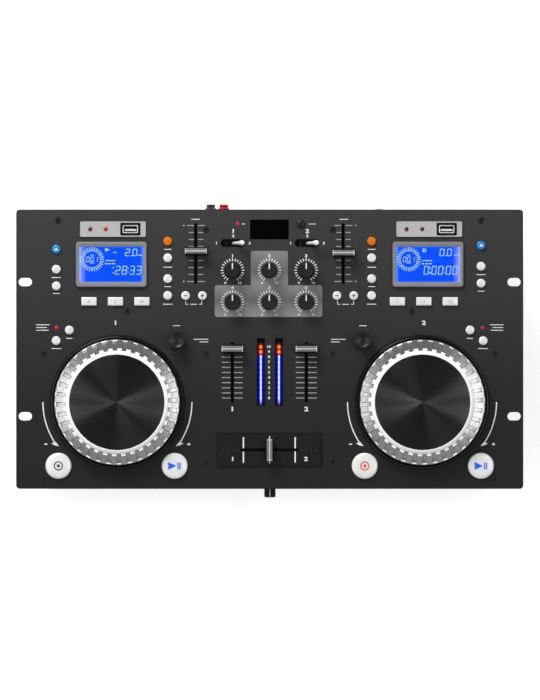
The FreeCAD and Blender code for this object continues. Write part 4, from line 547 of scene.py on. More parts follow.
@dataclass(frozen=True)
class MeterLight(Finish):
    """A level meter's light: brightest along its middle, red at the top and blue below."""

    middle: float = 0.0
    half_width: float = 3.75
    red_from: float = -5.9
    red_to: float = 4.0
    lit_from: float = -48.5
    power: float = 1.0
    red_power: float = 1.0

    def paint(self, graph: Graph) -> None:
        """Light the strip from its middle line outwards."""
        super().paint(graph)
        offset = graph.sum("ABSOLUTE", graph.sum("SUBTRACT", graph.coordinate(Axis.X), self.middle * MM))
        share = graph.sum("DIVIDE", offset, self.half_width * MM)
        blue = graph.ramp(share, ((0.0, (0.75, 0.88, 1.0)), (0.14, (0.58, 0.76, 1.0)), (0.25, (0.05, 0.08, 0.9)),
                                  (0.36, (0.0, 0.0, 0.32)), (0.8, (0.0, 0.0, 0.20)), (1.0, (0.0, 0.0, 0.06))))
        red = graph.ramp(share, ((0.0, (1.0, 0.46, 0.12)), (0.15, (1.0, 0.20, 0.03)), (0.38, (0.6, 0.02, 0.0)),
                                 (0.7, (0.24, 0.0, 0.0)), (1.0, (0.03, 0.0, 0.0))))
        upper = graph.sum("GREATER_THAN", graph.coordinate(Axis.Y), self.red_from * MM)
        dimmed = graph.mix(self.red_power, (0.0, 0.0, 0.0, 1.0), red)
        top = graph.along(Axis.Y, self.red_to + 2.5, self.red_to - 1.5)
        foot = graph.along(Axis.Y, self.lit_from - 5.0, self.lit_from + 1.0)
        graph.look({"Emission Color": graph.mix(upper, blue, dimmed),
                    "Emission Strength": graph.sum("MULTIPLY", graph.sum("MULTIPLY", top, foot), self.power)})


# Painted shade: the panel's coat is painted lighter towards the rear and darker towards the front, standing in for how
# the light falls across the panel.
PANEL = BandedPrint("panel_coat_painted_shade", (0.020, 0.020, 0.0205), 0.50, grain=0.35, grain_size=0.45, shine=0.16,
                    front=-133.0, rear=132.0, bands=((0.0, 0.014), (0.35, 0.017), (0.7, 0.030), (1.0, 0.038)))
CASE = Finish("case_coat", (0.022, 0.022, 0.023), 0.55, shine=0.3, grain=0.5, grain_size=0.6)
MOULDED = Finish("black_moulding", (0.007, 0.007, 0.0075), 0.42, shine=0.2, grain=0.25, grain_size=0.35)
GLOSSY = Finish("gloss_black", (0.004, 0.004, 0.0045), 0.2, mottle=0.02)
# Painted shade: dark strips standing in for the shadow in the corners of the jog ring's grooves.
PAINTED_GROOVE_SHADE = Finish("jog_painted_groove_shade", (0.06, 0.06, 0.062), 0.6, mottle=0.05, shine=0.2)
DEEP = Finish("dark_window", (0.0008, 0.0008, 0.001), 0.2, mottle=0.02, shine=0.06)
SCREW = Finish("black_oxide", (0.016, 0.016, 0.016), 0.3, metallic=0.6, grain=0.2, grain_size=0.3)
PLATE = Finish("blackened_plate", (0.009, 0.009, 0.0095), 0.46, shine=0.16, grain=0.25, grain_size=0.5)
SILVER = Finish("satin_silver", (0.46, 0.46, 0.46), 0.40, metallic=0.25, grain=0.2, grain_size=0.35, mottle=0.03)
FRAME = Finish("grey_moulding", (0.20, 0.20, 0.205), 0.42, grain=0.3, grain_size=0.4, mottle=0.04)
CHROME = Finish("bright_chrome", (0.86, 0.86, 0.87), 0.09, metallic=1.0, mottle=0.02)
BAT = Finish("satin_chrome", (0.95, 0.95, 0.95), 0.3, metallic=0.25, mottle=0.02)
NICKEL = Finish("dull_nickel", (0.62, 0.60, 0.56), 0.26, metallic=1.0, mottle=0.05, mottle_size=3.0)
RING = Finish("jog_silver", (0.41, 0.41, 0.413), 0.24, metallic=0.95, grain=0.03, grain_size=0.3, mottle=0.03)
BEVEL = Finish("cut_silver", (0.94, 0.94, 0.94), 0.34, metallic=0.1, mottle=0.02)
KNOB = Finish("soft_black", (0.012, 0.012, 0.0125), 0.62, shine=0.16, grain=0.4, grain_size=0.4, mottle=0.1,
              mottle_size=4.0)
DIAL = Finish("satin_black", (0.007, 0.007, 0.0075), 0.3, shine=0.4, grain=0.2, grain_size=0.3, mottle=0.06)
PEARL = Finish("pearl_white", (0.75, 0.75, 0.74), 0.24, metallic=0.1, coat=0.3, mottle=0.03, mottle_size=5.0)
KEY_TOP = Finish("key_silver", (0.84, 0.84, 0.83), 0.34, metallic=0.15, coat=0.15, mottle=0.03, mottle_size=6.0)
BLUE_KEY = Finish("blue_key", (0.006, 0.21, 0.56), 0.26, coat=0.15, mottle=0.05, mottle_size=4.0)
AMBER_KEY = Finish("amber_key", (0.64, 0.155, 0.0), 0.34, shine=0.2, mottle=0.05, mottle_size=4.0)
WHITE_INK = Finish("white_ink", (0.80, 0.80, 0.80), 0.55, grain=0.1, mottle=0.03, mottle_size=5.0)
DARK_INK = Finish("dark_ink", (0.05, 0.05, 0.055), 0.5, grain=0.1, mottle=0.05, mottle_size=5.0)
RED_INK = Finish("red_ink", (0.72, 0.035, 0.012), 0.5, grain=0.1, mottle=0.05, mottle_size=5.0)
BLUE_INK = Finish("blue_ink", (0.0, 0.115, 0.86), 0.4, grain=0.1, mottle=0.04, mottle_size=5.0)
LCD_INK = Finish("display_figures", (0.30, 0.50, 1.0), 0.4, mottle=0.02, glow=0.4, shine=0.1)
RED_LIGHT = Finish("red_lens", (0.40, 0.008, 0.010), 0.14, mottle=0.1, mottle_size=1.5, glow=0.1)
DARK_LIGHT = Finish("dark_red_lens", (0.13, 0.003, 0.007), 0.14, mottle=0.1, mottle_size=1.5)
SHELL = Finish("port_shell", (0.80, 0.80, 0.80), 0.3, metallic=0.5, mottle=0.03)
COVER = Finish("port_cover", (0.004, 0.004, 0.004), 0.5, grain=0.2, shine=0.1)
TONGUE = Finish("white_nylon", (0.78, 0.78, 0.76), 0.45, grain=0.2, mottle=0.04)
RED_SHELL = Finish("red_moulding", (0.46, 0.003, 0.009), 0.36, shine=0.15, grain=0.1, mottle=0.05)
RUBBER = Finish("foot_rubber", (0.012, 0.012, 0.012), 0.8, grain=0.6, grain_size=0.5, mottle=0.12)
TRAY = Finish("tray_moulding", (0.016, 0.016, 0.017), 0.36, grain=0.3, grain_size=0.4, mottle=0.06)
ZINC = Finish("zinc_plate", (0.55, 0.55, 0.54), 0.36, metallic=0.9, grain=0.25, grain_size=0.8, mottle=0.1,
              stretch=(1.0, 0.08, 1.0))
BOARD = Finish("board_green", (0.008, 0.085, 0.030), 0.38, grain=0.3, grain_size=1.2, mottle=0.3, mottle_size=2.2)
LINE = Finish("silver_line", (0.86, 0.86, 0.86), 0.3, metallic=0.3, mottle=0.02)
SCALE_INK = Finish("scale_ink", (0.36, 0.36, 0.36), 0.6, mottle=0.06, mottle_size=6.0)
RIDGE = Finish("fader_silver", (0.21, 0.21, 0.215), 0.33, metallic=0.5, grain=0.2, grain_size=0.3, mottle=0.04)


def dress(finish: Finish, *nodes: str) -> None:
    """Give nodes that are shown as they are a finish."""
    for node in nodes:
        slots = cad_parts[node].data.materials
        slots.clear()
        slots.append(finish.material())
        LOG.info("%s: dressed in %s", node, finish.name)


# ---------------------------------------------------------------- case


@dataclass
class Case:
    """The case, panel, screws, feet and hidden insides."""

    foot_spacing: Flat = (380.0, 200.0)
    plate_screws: tuple[float, ...] = (-41.8, -32.8, 32.6, 41.6)
    plate_y: float = -95.7
    panel_screws: tuple[Flat, ...] = (
        (201.4, 122.1), (214.6, -5.05), (214.5, -124.6), (135.5, 35.6), (60.35, 113.4), (60.35, -5.05),
        (60.35, -108.9),
    )
    dressed: tuple[tuple[Finish, tuple[str, ...]], ...] = (
        (PANEL, ("top_panel",)),
        (CASE, ("case_floor", "case_walls")),
        (PLATE, ("crossfader_plate",)),
        (ZINC, ("drive_frames", "left_laser_pickup", "right_laser_pickup")),
        (TRAY, ("left_disc_tray", "right_disc_tray")),
        (DIAL, ("left_disc_spindle", "right_disc_spindle")),
        (BOARD, ("circuit_boards",)),
        (NICKEL, ("power_supply",)),
        (MOULDED, ("control_bodies", "mains_inlet")),
        (GLOSSY, ("power_rocker",)),
    )

    def build(self) -> None:
        """Dress the sheet metal and build the screws and feet."""
        for finish, nodes in self.dressed:
            dress(finish, *nodes)
        self.screws()
        self.feet()

    def screw(self) -> Form:
        """Build one countersunk screw with a six-sided socket."""
        form = lathe([(0, -1.15), (1.3, -1.15), (1.3, -0.12), (1.5, 0.03), (2.7, 0.03), (3.05, -0.08),
                      (3.15, -0.3), (1.5, -1.7), (1.5, -2.4), (0, -2.4)], 48)
        flat, side = 1.14, math.radians(60)
        return form.swelled(lambda reach, angle: flat / math.cos(angle % side - side / 2) / reach
                            if 1.2 < reach < 1.4 else 1.0)

    def screws(self) -> None:
        """Build every screw of the panel and of the crossfader's plate."""
        screws = [self.screw().turned(17 * n).moved(side.at(x), y, TOP)
                  for n, (x, y) in enumerate(self.panel_screws) for side in Side]
        screws += [self.screw().turned(11 * n).moved(x, self.plate_y, TOP + PLATE_RISE)
                   for n, x in enumerate(self.plate_screws)]
        group(screws).piece("screws", SCREW, slot="black_screw", replaces=["panel_screws"])

    def feet(self) -> None:
        """Build the feet, each with its screw at the bottom of a recess."""
        feet, heads = [], []
        profile = [(0, 2.8), (3.4, 2.8), (3.6, 0.3), (4.0, 0), (7.7, 0), (8.4, 0.5), (9.9, 5.4), (10, 6), (0, 6)]
        for x_sign in (-1, 1):
            for y_sign in (-1, 1):
                x, y = x_sign * self.foot_spacing[0] / 2, y_sign * self.foot_spacing[1] / 2
                feet.append(lathe(profile, 56).moved(x, y))
                heads.append(lathe([(0, 1.5), (1.6, 1.6), (2.6, 2.2), (2.7, 2.9), (0, 2.9)], 32).moved(x, y))
        group(feet).piece("feet", RUBBER, slot="foot_rubber", replaces=["rubber_feet"])
        group(heads).piece("foot_screws", SCREW, slot="black_screw")


# ---------------------------------------------------------------- decks


@dataclass
class JogWheel:
    """One jog wheel: ribbed silver ring, bright bevel and turned black platter."""

    side: Side
    ribs: int = 36
    steps: int = 360
    groove: float = 0.43
    pad_rise: float = 0.6
    pad_span: Flat = (49.2, 58.6)

    def build(self) -> None:
        """Build the wheel's pieces."""
        body = f"{self.side.label}_jog_wheel"
        x, y = self.side.at(JOG[0]), JOG[1]
        bevel = lathe([(44.9, 15.9), (48.9, 13.0), (48.9, 15.25), (48.5, 15.65), (46.1, 16.85), (45.5, 16.9),
                       (45.1, 16.7)], 180, ring=True)
        platter = lathe([(0, 12.0), (45.2, 12.0), (45.45, 16.5), (45.1, 16.95), (44.6, 17.0), (1.4, 17.0),
                         (0.9, 16.9), (0, 16.88)], 180)
        face = TurnedFinish(f"{self.side.label}_platter", (0.062, 0.062, 0.063), 0.20, metallic=1.0, mottle=0.03,
                            centre=(x, y))
        # The dark strips in the grooves are painted shade.
        for part, form, finish in (("ring", self.ring(), RING), ("marks", self.marks(), BEVEL),
                                   ("seams", self.seams(), PAINTED_GROOVE_SHADE), ("bevel", bevel, BEVEL), ("platter", platter, face)):
            form.moved(x, y, TOP).piece(f"{body}_{part}", finish, body, "jog_silver", [body] if part == "ring" else ())

    def ring(self) -> Form:
        """Build the ring, with raised pads between its narrow grooves."""
        profile = [(57.6, 2.7), (59.6, 2.7), (59.6, 10.9), (59.25, 11.8), (58.55, 12.15), (52.0, 13.5),
                   (49.1, 13.9), (49.1, 9.5), (57.6, 9.5)]
        form = lathe(profile, self.steps, ring=True)
        pitch = math.tau / self.ribs

        def in_pad(place: Vector) -> bool:
            phase = (math.atan2(place.y, place.x) % pitch) / pitch
            reach = math.hypot(place.x, place.y)
            return self.pad_span[0] < reach < self.pad_span[1] and place.z > 12 and phase > self.groove

        return form.raised(in_pad, self.pad_rise).closed().softened(0.12, 1, 40)

    def marks(self) -> Form:
        """Build the bright teeth at the pads' inner ends and the bright marks at the grooves' outer ends."""
        form = Form()
        for step in range(self.ribs):
            pad, groove = (step + 0.715) * 360 / self.ribs, (step + 0.215) * 360 / self.ribs
            form.plus(block(2.6, 4.3, 12.6, 14.85).softened(0.1, 1).moved(49.9).turned(pad))
            form.plus(block(1.1, 4.2, 11.6, 12.8).softened(0.1, 1).moved(58.4).turned(groove))
        return form

    def seams(self) -> Form:
        """Build painted shade: dark strips at the foot of each groove's two walls, where the corners lie in shadow."""
        form = Form()
        for step in range(self.ribs):
            for edge in (0.02, 0.41):
                painted_shade_strip = block(6.0, 0.42, 13.3, 13.6).moved(55.2)
                painted_shade_strip.shaped(lambda p: Vector((p.x, p.y, p.z - 0.206 * (p.x - 52.0))))
                form.plus(painted_shade_strip.turned((step + edge) * 360 / self.ribs))
        return form


@dataclass
class JogSurrounds:
    """The black lips round both jog wheels, and the printed arrows beside them."""

    def build(self) -> None:
        """Build the lips and arrows."""
        lips, arrows = [], []
        for side in Side:
            place = (side.at(JOG[0]), JOG[1], TOP)
            lip = lathe([(10, 0), (63.9, 0), (64.0, 0.5), (63.6, 2.1), (63.1, 3.1), (62.6, 3.55), (62.1, 3.6),
                         (61.5, 3.3), (61.0, 2.6), (60.7, 1.9), (60.7, 1.6), (10, 1.6)], 160, ring=True)
            lips.append(lip.moved(*place))
            arrows += [self.arrow(sign).moved(*place) for sign in (-1, 1)]
        group(lips).piece("jog_lips", GLOSSY, replaces=["jog_bases"])
        group(arrows).piece("jog_arrows", WHITE_INK, slot="key_white")

    def arrow(self, sign: int) -> Form:
        """Build one arc with its arrowhead, on the left for -1 and on the right for 1."""
        low, high = PRINT
        form = arc(70.9, 1.05, 180, 33, low, high)
        form.plus(prism([(-63.0, -39.0), (-59.8, -41.0), (-55.5, -42.0), (-58.8, -37.8), (-60.2, -38.7)],
                        low, high + 0.015))
        return form if sign < 0 else form.shaped(lambda p: Vector((-p.x, p.y, p.z))).closed()


class Mark(Enum):
    """The signs printed on keys."""

    EJECT = "eject"
    MINUS = "minus"
    PLUS = "plus"


@dataclass
class DeckKeys:
    """Every key of one deck."""

    side: Side
    mode_keys: tuple[Flat, ...]
    eject: Flat
    radius: float = 4.25
    height: float = 2.4
    track_rows: tuple[float, ...] = (102.7, 86.8, 67.0, 51.0)
    track_x: float = 97.0
    bend_x: float = 72.0
    bend_reach: float = 8.0
    bend_y: float = 50.9
    loop_x: float = 146.7
    loop_pitch: float = 25.15
    loop_y: float = 45.4
    big_x: float = 145.7
    big_reach: float = 55.25
    big_y: float = -111.0
    big_radius: float = 12.35

    def build(self) -> None:
        """Build all of the deck's keys."""
        self.round_keys()
        self.lone_keys()
        self.loop_keys()
        self.big_keys()

    def dome(self) -> Form:
        """Build one small domed key at the panel's level."""
        r, h = self.radius, self.height
        return lathe([(0, SINK), (r, SINK), (r, h - 1.5), (r * 0.975, h - 0.95), (r * 0.9, h - 0.5),
                      (r * 0.76, h - 0.2), (r * 0.5, h - 0.05), (0, h)], 48)

    def round_keys(self) -> None:
        """Build the mode keys and the track keys, of which the pitch key is amber."""
        name = self.side.label
        tracks = [(self.track_x, y) for y in self.track_rows]
        groups = (("mode_domes", "mode_keys", self.mode_keys, PEARL), ("track_domes", "track_keys", tracks[1:], PEARL),
                  ("pitch_dome", "track_keys", tracks[:1], AMBER_KEY))
        for part, keys, places, finish in groups:
            domes = [self.dome().moved(self.side.at(x), y, TOP) for x, y in places]
            node = f"{name}_{keys}"
            shown = () if part == "pitch_dome" else [node]
            group(domes).piece(f"{name}_{part}", finish, node, "key_white", shown)

    def mark(self, mark: Mark) -> Form:
        """Build the sign on a small key."""
        low, high = self.height - 0.16, self.height + 0.02
        if mark is Mark.EJECT:
            return prism([(-1.7, -1.1), (1.7, -1.1), (0, 1.7)], low, high)
        dash = block(3.7, 0.8, low, high)
        return dash.plus(block(0.8, 3.7, low, high)) if mark is Mark.PLUS else dash

    def lone_keys(self) -> None:
        """Build the eject key and the two bend keys with their signs."""
        x = self.side.at(self.bend_x)
        keys = (
            ("eject_key", self.side.at(self.eject[0]), self.eject[1], Mark.EJECT, BLUE_KEY, WHITE_INK, "key_blue"),
            ("bend_minus_key", x - self.bend_reach, self.bend_y, Mark.MINUS, PEARL, DARK_INK, "key_white"),
            ("bend_plus_key", x + self.bend_reach, self.bend_y, Mark.PLUS, PEARL, DARK_INK, "key_white"),
        )
        for key, x, y, mark, finish, ink, slot in keys:
            node = f"{self.side.label}_{key}"
            self.dome().moved(x, y, TOP).piece(f"{node}_dome", finish, node, slot, [node])
            self.mark(mark).moved(x, y, TOP).piece(f"{node}_sign", ink, node, slot)

    def loop_keys(self) -> None:
        """Build the three rectangular keys, each with its sign."""
        node = f"{self.side.label}_loop_keys"
        caps, signs = [], []
        for step, sign in zip((-1, 0, 1), ("[", "]", "[ ]")):
            x = self.side.at(self.loop_x) + step * self.loop_pitch
            cap = loft([(14.7, 8.2, 0.8, SINK), (14.7, 8.2, 0.8, 1.35), (14.3, 7.8, 0.8, 1.85),
                        (13.3, 6.8, 0.7, 2.28), (12.4, 5.9, 0.6, 2.4)])
            caps.append(cap.moved(x, self.loop_y, TOP))
            signs.append(glyphs(sign, 2.5, 2.3, 2.42, 1.2, 0.01).moved(x, self.loop_y, TOP))
        group(caps).piece(f"{node}_caps", PEARL, node, "key_white", [node])
        group(signs).piece(f"{node}_signs", DARK_INK, node, "key_white")

    def big_keys(self) -> None:
        """Build the cue key with its disc sign and the play key with its arrow and bars."""
        r = self.big_radius
        low, high = 3.05, 3.2
        for key, step in (("cue_key", -1), ("play_key", 1)):
            node = f"{self.side.label}_{key}"
            x = self.side.at(self.big_x) + step * self.big_reach
            cap = lathe([(0, SINK), (r, SINK), (r, 1.3), (r - 0.25, 1.8), (r - 1.15, 2.55), (r - 1.45, 2.6),
                         (r - 1.6, 2.42), (r - 1.85, 2.42), (r - 2.1, 2.72), (r - 2.8, 2.9), (r - 4.5, 3.02),
                         (0, 3.1)], 96)
            cap.moved(x, self.big_y, TOP).piece(f"{node}_cap", KEY_TOP, node, "key_white", [node])
            if step < 0:
                sign = lathe([(3.3, low), (4.4, low), (4.4, high), (3.3, high)], 64, ring=True)
                sign.plus(lathe([(0, low), (1.5, low), (1.5, high), (0, high)], 32))
                ink = DARK_INK if self.side is Side.LEFT else RED_INK
            else:
                sign = prism([(-6.0, -3.7), (1.6, 0), (-6.0, 3.7)], low, high)
                sign.plus(*[block(1.2, 6.4, low, high).moved(reach) for reach in (3.3, 5.2)])
                ink = BLUE_INK
            sign.moved(x, self.big_y, TOP).piece(f"{node}_sign", ink, node, "key_white")


def stroke(width: float, depth: float, x: float, y: float) -> Form:
    """Build one bar of a display's figures."""
    return block(width, depth, *FIGURE).moved(x, y)


@dataclass
class Display:
    """One deck's display: the lit screen and its figures."""

    side: Side
    pitch_figures: str
    time_figures: str
    pitch_x: float
    time_x: float
    dial: Flat = (-18.3, 4.8)
    dial_ticks: int = 28

    SEGMENTS: ClassVar[dict[str, str]] = {
        "0": "abcdef", "1": "bc", "2": "abged", "3": "abgcd", "8": "abcdefg", "-": "g", " ": "",
    }

    def build(self) -> None:
        """Build the screen and its figures."""
        name = self.side.label
        x, y = self.side.at(SCREEN[0]), SCREEN[1]
        lit = LitDisplay(f"{name}_backlight", (0.0, 0.005, 0.05), 0.3, mottle=0.01, shine=0.12, middle=(x, y),
                         outward=self.side.value)
        screen = block(*SCREEN_SIZE, 0.9, 2.28).softened(0.12, 1)
        screen.moved(x, y, TOP).piece(f"{name}_screen", lit, slot="display_lens", replaces=["display_windows"])
        self.figures().moved(x, y, TOP).piece(f"{name}_figures", LCD_INK, slot="display_lens")

    def digit(self, figure: str, height: float, width: float, thick: float) -> Form:
        """Build one figure of seven slanted bars."""
        half, wide = height / 2, width / 2
        places = {
            "a": (0, half), "g": (0, 0), "d": (0, -half),
            "f": (-wide, half / 2), "b": (wide, half / 2), "e": (-wide, -half / 2), "c": (wide, -half / 2),
        }
        form = Form()
        for letter in self.SEGMENTS[figure]:
            size = (width - thick * 0.35, thick) if letter in "agd" else (thick, half - thick * 0.35)
            form.plus(stroke(*size, *places[letter]))
        return form.shaped(lambda p: Vector((p.x + 0.1 * p.y, p.y, p.z)))

    def number(self, text: str, height: float, pitch: float, thick: float) -> Form:
        """Build a row of figures, with colons and points, centred on the origin."""
        dots = {".": (-height / 2,), ":": (-height / 4, height / 4)}
        widths = [pitch * (0.16 if letter in dots else 1.0) for letter in text]
        x = -sum(widths) / 2
        form = Form()
        for letter, width in zip(text, widths):
            middle = x + width / 2
            if letter in dots:
                form.plus(*[stroke(thick, thick, middle, y) for y in dots[letter]])
            else:
                form.plus(self.digit(letter, height, pitch * 0.62, thick).moved(middle))
            x += width
        return form

    def figures(self) -> Form:
        """Build everything that the screen shows."""
        form = Form()
        for step in range(self.dial_ticks):
            form.plus(stroke(3.9, 0.85, 9.55, 0.0).turned(step * 360 / self.dial_ticks).moved(*self.dial))
        strokes = [(3.4, 0.55, -18.3, 8.9), (4.4, 0.55, -18.3, 1.4), (4.6, 0.7, 27.0, 8.8), (9.4, 0.75, -0.8, 3.6),
                   (1.8, 0.6, 1.6, -3.2), (1.8, 0.6, 1.6, -8.2)]
        strokes += [(2.5, 0.95, -4.9 + 3.5 * n, 0.7) for n in range(3)]
        if self.side is Side.LEFT:
            form.plus(prism([(-2.2, 1.7), (2.2, 0), (-2.2, -1.7)], *FIGURE).moved(-3.6, 14.0))
        else:
            strokes += [(1.1, 3.6, -4.6, 13.4), (1.1, 3.6, -2.6, 13.4)]
        form.plus(*[stroke(*each) for each in strokes])
        return form.plus(self.number("001", 4.6, 4.0, 0.55).moved(*self.dial),
                         self.number(self.pitch_figures, 6.2, 6.0, 0.7).moved(self.pitch_x, 11.4),
                         self.number(self.time_figures, 7.6, 6.3, 0.72).moved(self.time_x, -5.6))


@dataclass
class DisplayFrames:
    """The grey frames round both displays."""

    def build(self) -> None:
        """Build both frames."""
        sections = [(67.4, 43.0, 2.6, 0.0), (67.4, 43.0, 2.6, 1.9), (66.9, 42.5, 2.5, 2.6), (65.9, 41.5, 2.2, 2.98),
                    (63.0, 35.8, 1.2, 2.94), (61.2, 33.8, 0.6, 2.5), (*SCREEN_SIZE, 0.5, 2.1),
                    (*SCREEN_SIZE, 0.5, 0.05)]
        frames = [loft(sections, hollow=True).moved(side.at(SCREEN[0]), SCREEN[1], TOP) for side in Side]
        group(frames).piece("display_frames", FRAME, slot="bezel_grey", replaces=["display_bezels"])


@dataclass
class UsbPorts:
    """Both ports with their plates and lights."""

    places: tuple[Flat, ...] = ((-132.5, 114.2), (168.4, 114.2))

    def build(self) -> None:
        """Dress the plates and build the surrounds, shells, tongues and wells."""
        dress(SILVER, "usb_plates")
        for part, finish, make in (("surrounds", COVER, self.surround), ("shells", SHELL, self.shell),
                                   ("tongues", TONGUE, self.tongue), ("wells", MOULDED, self.well)):
            forms = [make().moved(x, y, TOP) for x, y in self.places]
            group(forms).piece(f"usb_{part}", finish, slot="bright_metal",
                               replaces=["usb_sockets"] if part == "surrounds" else ())

    def surround(self) -> Form:
        """Build one port's black surround."""
        return loft([(19.2, 12.0, 2.6, -1.0), (19.2, 12.0, 2.6, 1.6), (18.6, 11.4, 2.4, 2.0), (14.9, 7.9, 1.2, 1.96),
                     (14.3, 7.3, 1.0, 1.4), (14.3, 7.3, 1.0, -0.95)], hollow=True)

    def shell(self) -> Form:
        """Build one port's metal shell."""
        return loft([(14.2, 7.2, 0.9, -6.0), (14.2, 7.2, 0.9, 1.4), (14.6, 7.6, 1.1, 1.97), (13.2, 6.2, 0.8, 1.9),
                     (12.8, 5.8, 0.6, 1.2), (12.6, 5.6, 0.6, -5.95)], hollow=True)

    def tongue(self) -> Form:
        """Build one port's tongue."""
        return block(11.1, 1.9, -9.0, -0.9).softened(0.25, 1).moved(y=-0.7)

    def well(self) -> Form:
        """Build one port's dark floor."""
        return block(13.6, 6.6, -9.4, -6.2)


@dataclass
class Lights:
    """The round indicator lights."""

    dark: tuple[Flat, ...] = ((-170.7, 114.2), (130.2, 114.2), (145.1, 114.2))
    lit: tuple[Flat, ...] = ((-202.75, 20.3), (202.75, 20.3), (-30.2, 119.1))
    lit_on_plate: tuple[Flat, ...] = ((-155.8, 114.2),)

    def build(self) -> None:
        """Build the dark and the lit lenses."""
        dark = [self.lens().moved(x, y, TOP + PLATE_RISE) for x, y in self.dark]
        group(dark).piece("dark_lights", DARK_LIGHT, slot="light_lens", replaces=["indicator_lights"])
        lit = [self.lens().moved(x, y, TOP) for x, y in self.lit]
        lit += [self.lens().moved(x, y, TOP + PLATE_RISE) for x, y in self.lit_on_plate]
        group(lit).piece("red_lights", RED_LIGHT, slot="light_lens")

    def lens(self) -> Form:
        """Build one domed lens."""
        return lathe([(0, -3.5), (2.0, -3.5), (2.0, -0.1), (1.85, 0.35), (1.3, 0.68), (0, 0.8)], 32)


# ---------------------------------------------------------------- mixer


@dataclass
class Knobs:
    """Every rotary knob."""

    mixer: tuple[str, ...] = ("mic_knob", "master_knob", "cue_level_knob", "low_knob", "mid_knob", "high_knob")
    radius: float = 7.75
    height: float = 13.6
    lift: float = 0.8
    track_place: Flat = (88.1, 8.1)
    track_size: Flat = (8.3, 13.0)
    phones_x: float = 0.2
    phones_size: Flat = (5.45, 9.9)

    def build(self) -> None:
        """Build the mixer's, the decks' and the front knobs."""
        for node, (x, y) in zip(self.mixer, [(x, y) for y in KNOB_Y for x in KNOB_X]):
            self.fluted_knob().moved(x, y, TOP + self.lift).piece(f"{node}_body", KNOB, node, "knob_black", [node])
            line = block(1.15, 5.7, self.height - 0.7, self.height + 0.02).softened(0.12, 1)
            line.moved(x, y + 3.75, TOP + self.lift).piece(f"{node}_line", WHITE_INK, node, "knob_black")
        for side in Side:
            node = f"{side.label}_track_knob"
            knob = self.dished_knob().moved(side.at(self.track_place[0]), self.track_place[1], TOP + self.lift)
            knob.piece(f"{node}_body", DIAL, node, "knob_black", [node])
        self.phones_knob()

    def fluted_knob(self) -> Form:
        """Build one mixer knob: skirt, fluted wall and a faintly dished top."""
        r, h = self.radius, self.height
        rim = inset(r, h, ((0.55, 1.2), (0.75, 0.45), (1.25, 0.04), (1.7, 0), (2.2, 0.12), (3.6, 0.3)))
        profile = [(0, 0.4), (r - 1.2, 0.4), (r - 0.9, 0), (r, 0), (r, 1.3), (r - 0.3, 1.7), *rim, (0, h - 0.32)]
        return fluted(lathe(profile, 144), r - 0.7, 0.34, 24)

    def dished_knob(self) -> Form:
        """Build one deck's track knob with its finger dish."""
        r, h = self.track_size
        rim = inset(r, h, ((0, 1.6), (0.2, 0.8), (0.7, 0.15), (1.3, 0), (2.0, 0.2), (3.2, 0.85), (4.9, 1.35),
                           (6.6, 1.55)))
        return fluted(lathe([(0, 0), (r, 0), *rim, (0, h - 1.6)], 144), r - 0.1, 0.22, 36)

    def phones_knob(self) -> None:
        """Build the knob that stands out of the front wall."""
        r, reach = self.phones_size
        node = "phones_knob"
        rim = inset(r, reach, ((0, 1.0), (0.35, 0.3), (1.0, 0), (2.0, 0)))
        form = lathe([(0, 0.6), (r, 0.6), *rim, (0, reach - 0.25)], 120)
        form = fluted(form, r - 0.1, 0.22, 20).turned(90, Axis.X)
        form.moved(self.phones_x, -WALL, FRONT_AXIS).piece(f"{node}_body", KNOB, node, "knob_black", [node])
        line = block(0.8, reach - 1.6, -0.05, 0.14).moved(0, -reach / 2 - 0.2, r - 0.1)
        line.plus(block(0.8, 0.3, -3.4, 0.0).moved(0, -reach + 0.12, r - 0.6))
        line.moved(self.phones_x, -WALL, FRONT_AXIS).piece(f"{node}_line", WHITE_INK, node, "knob_black")


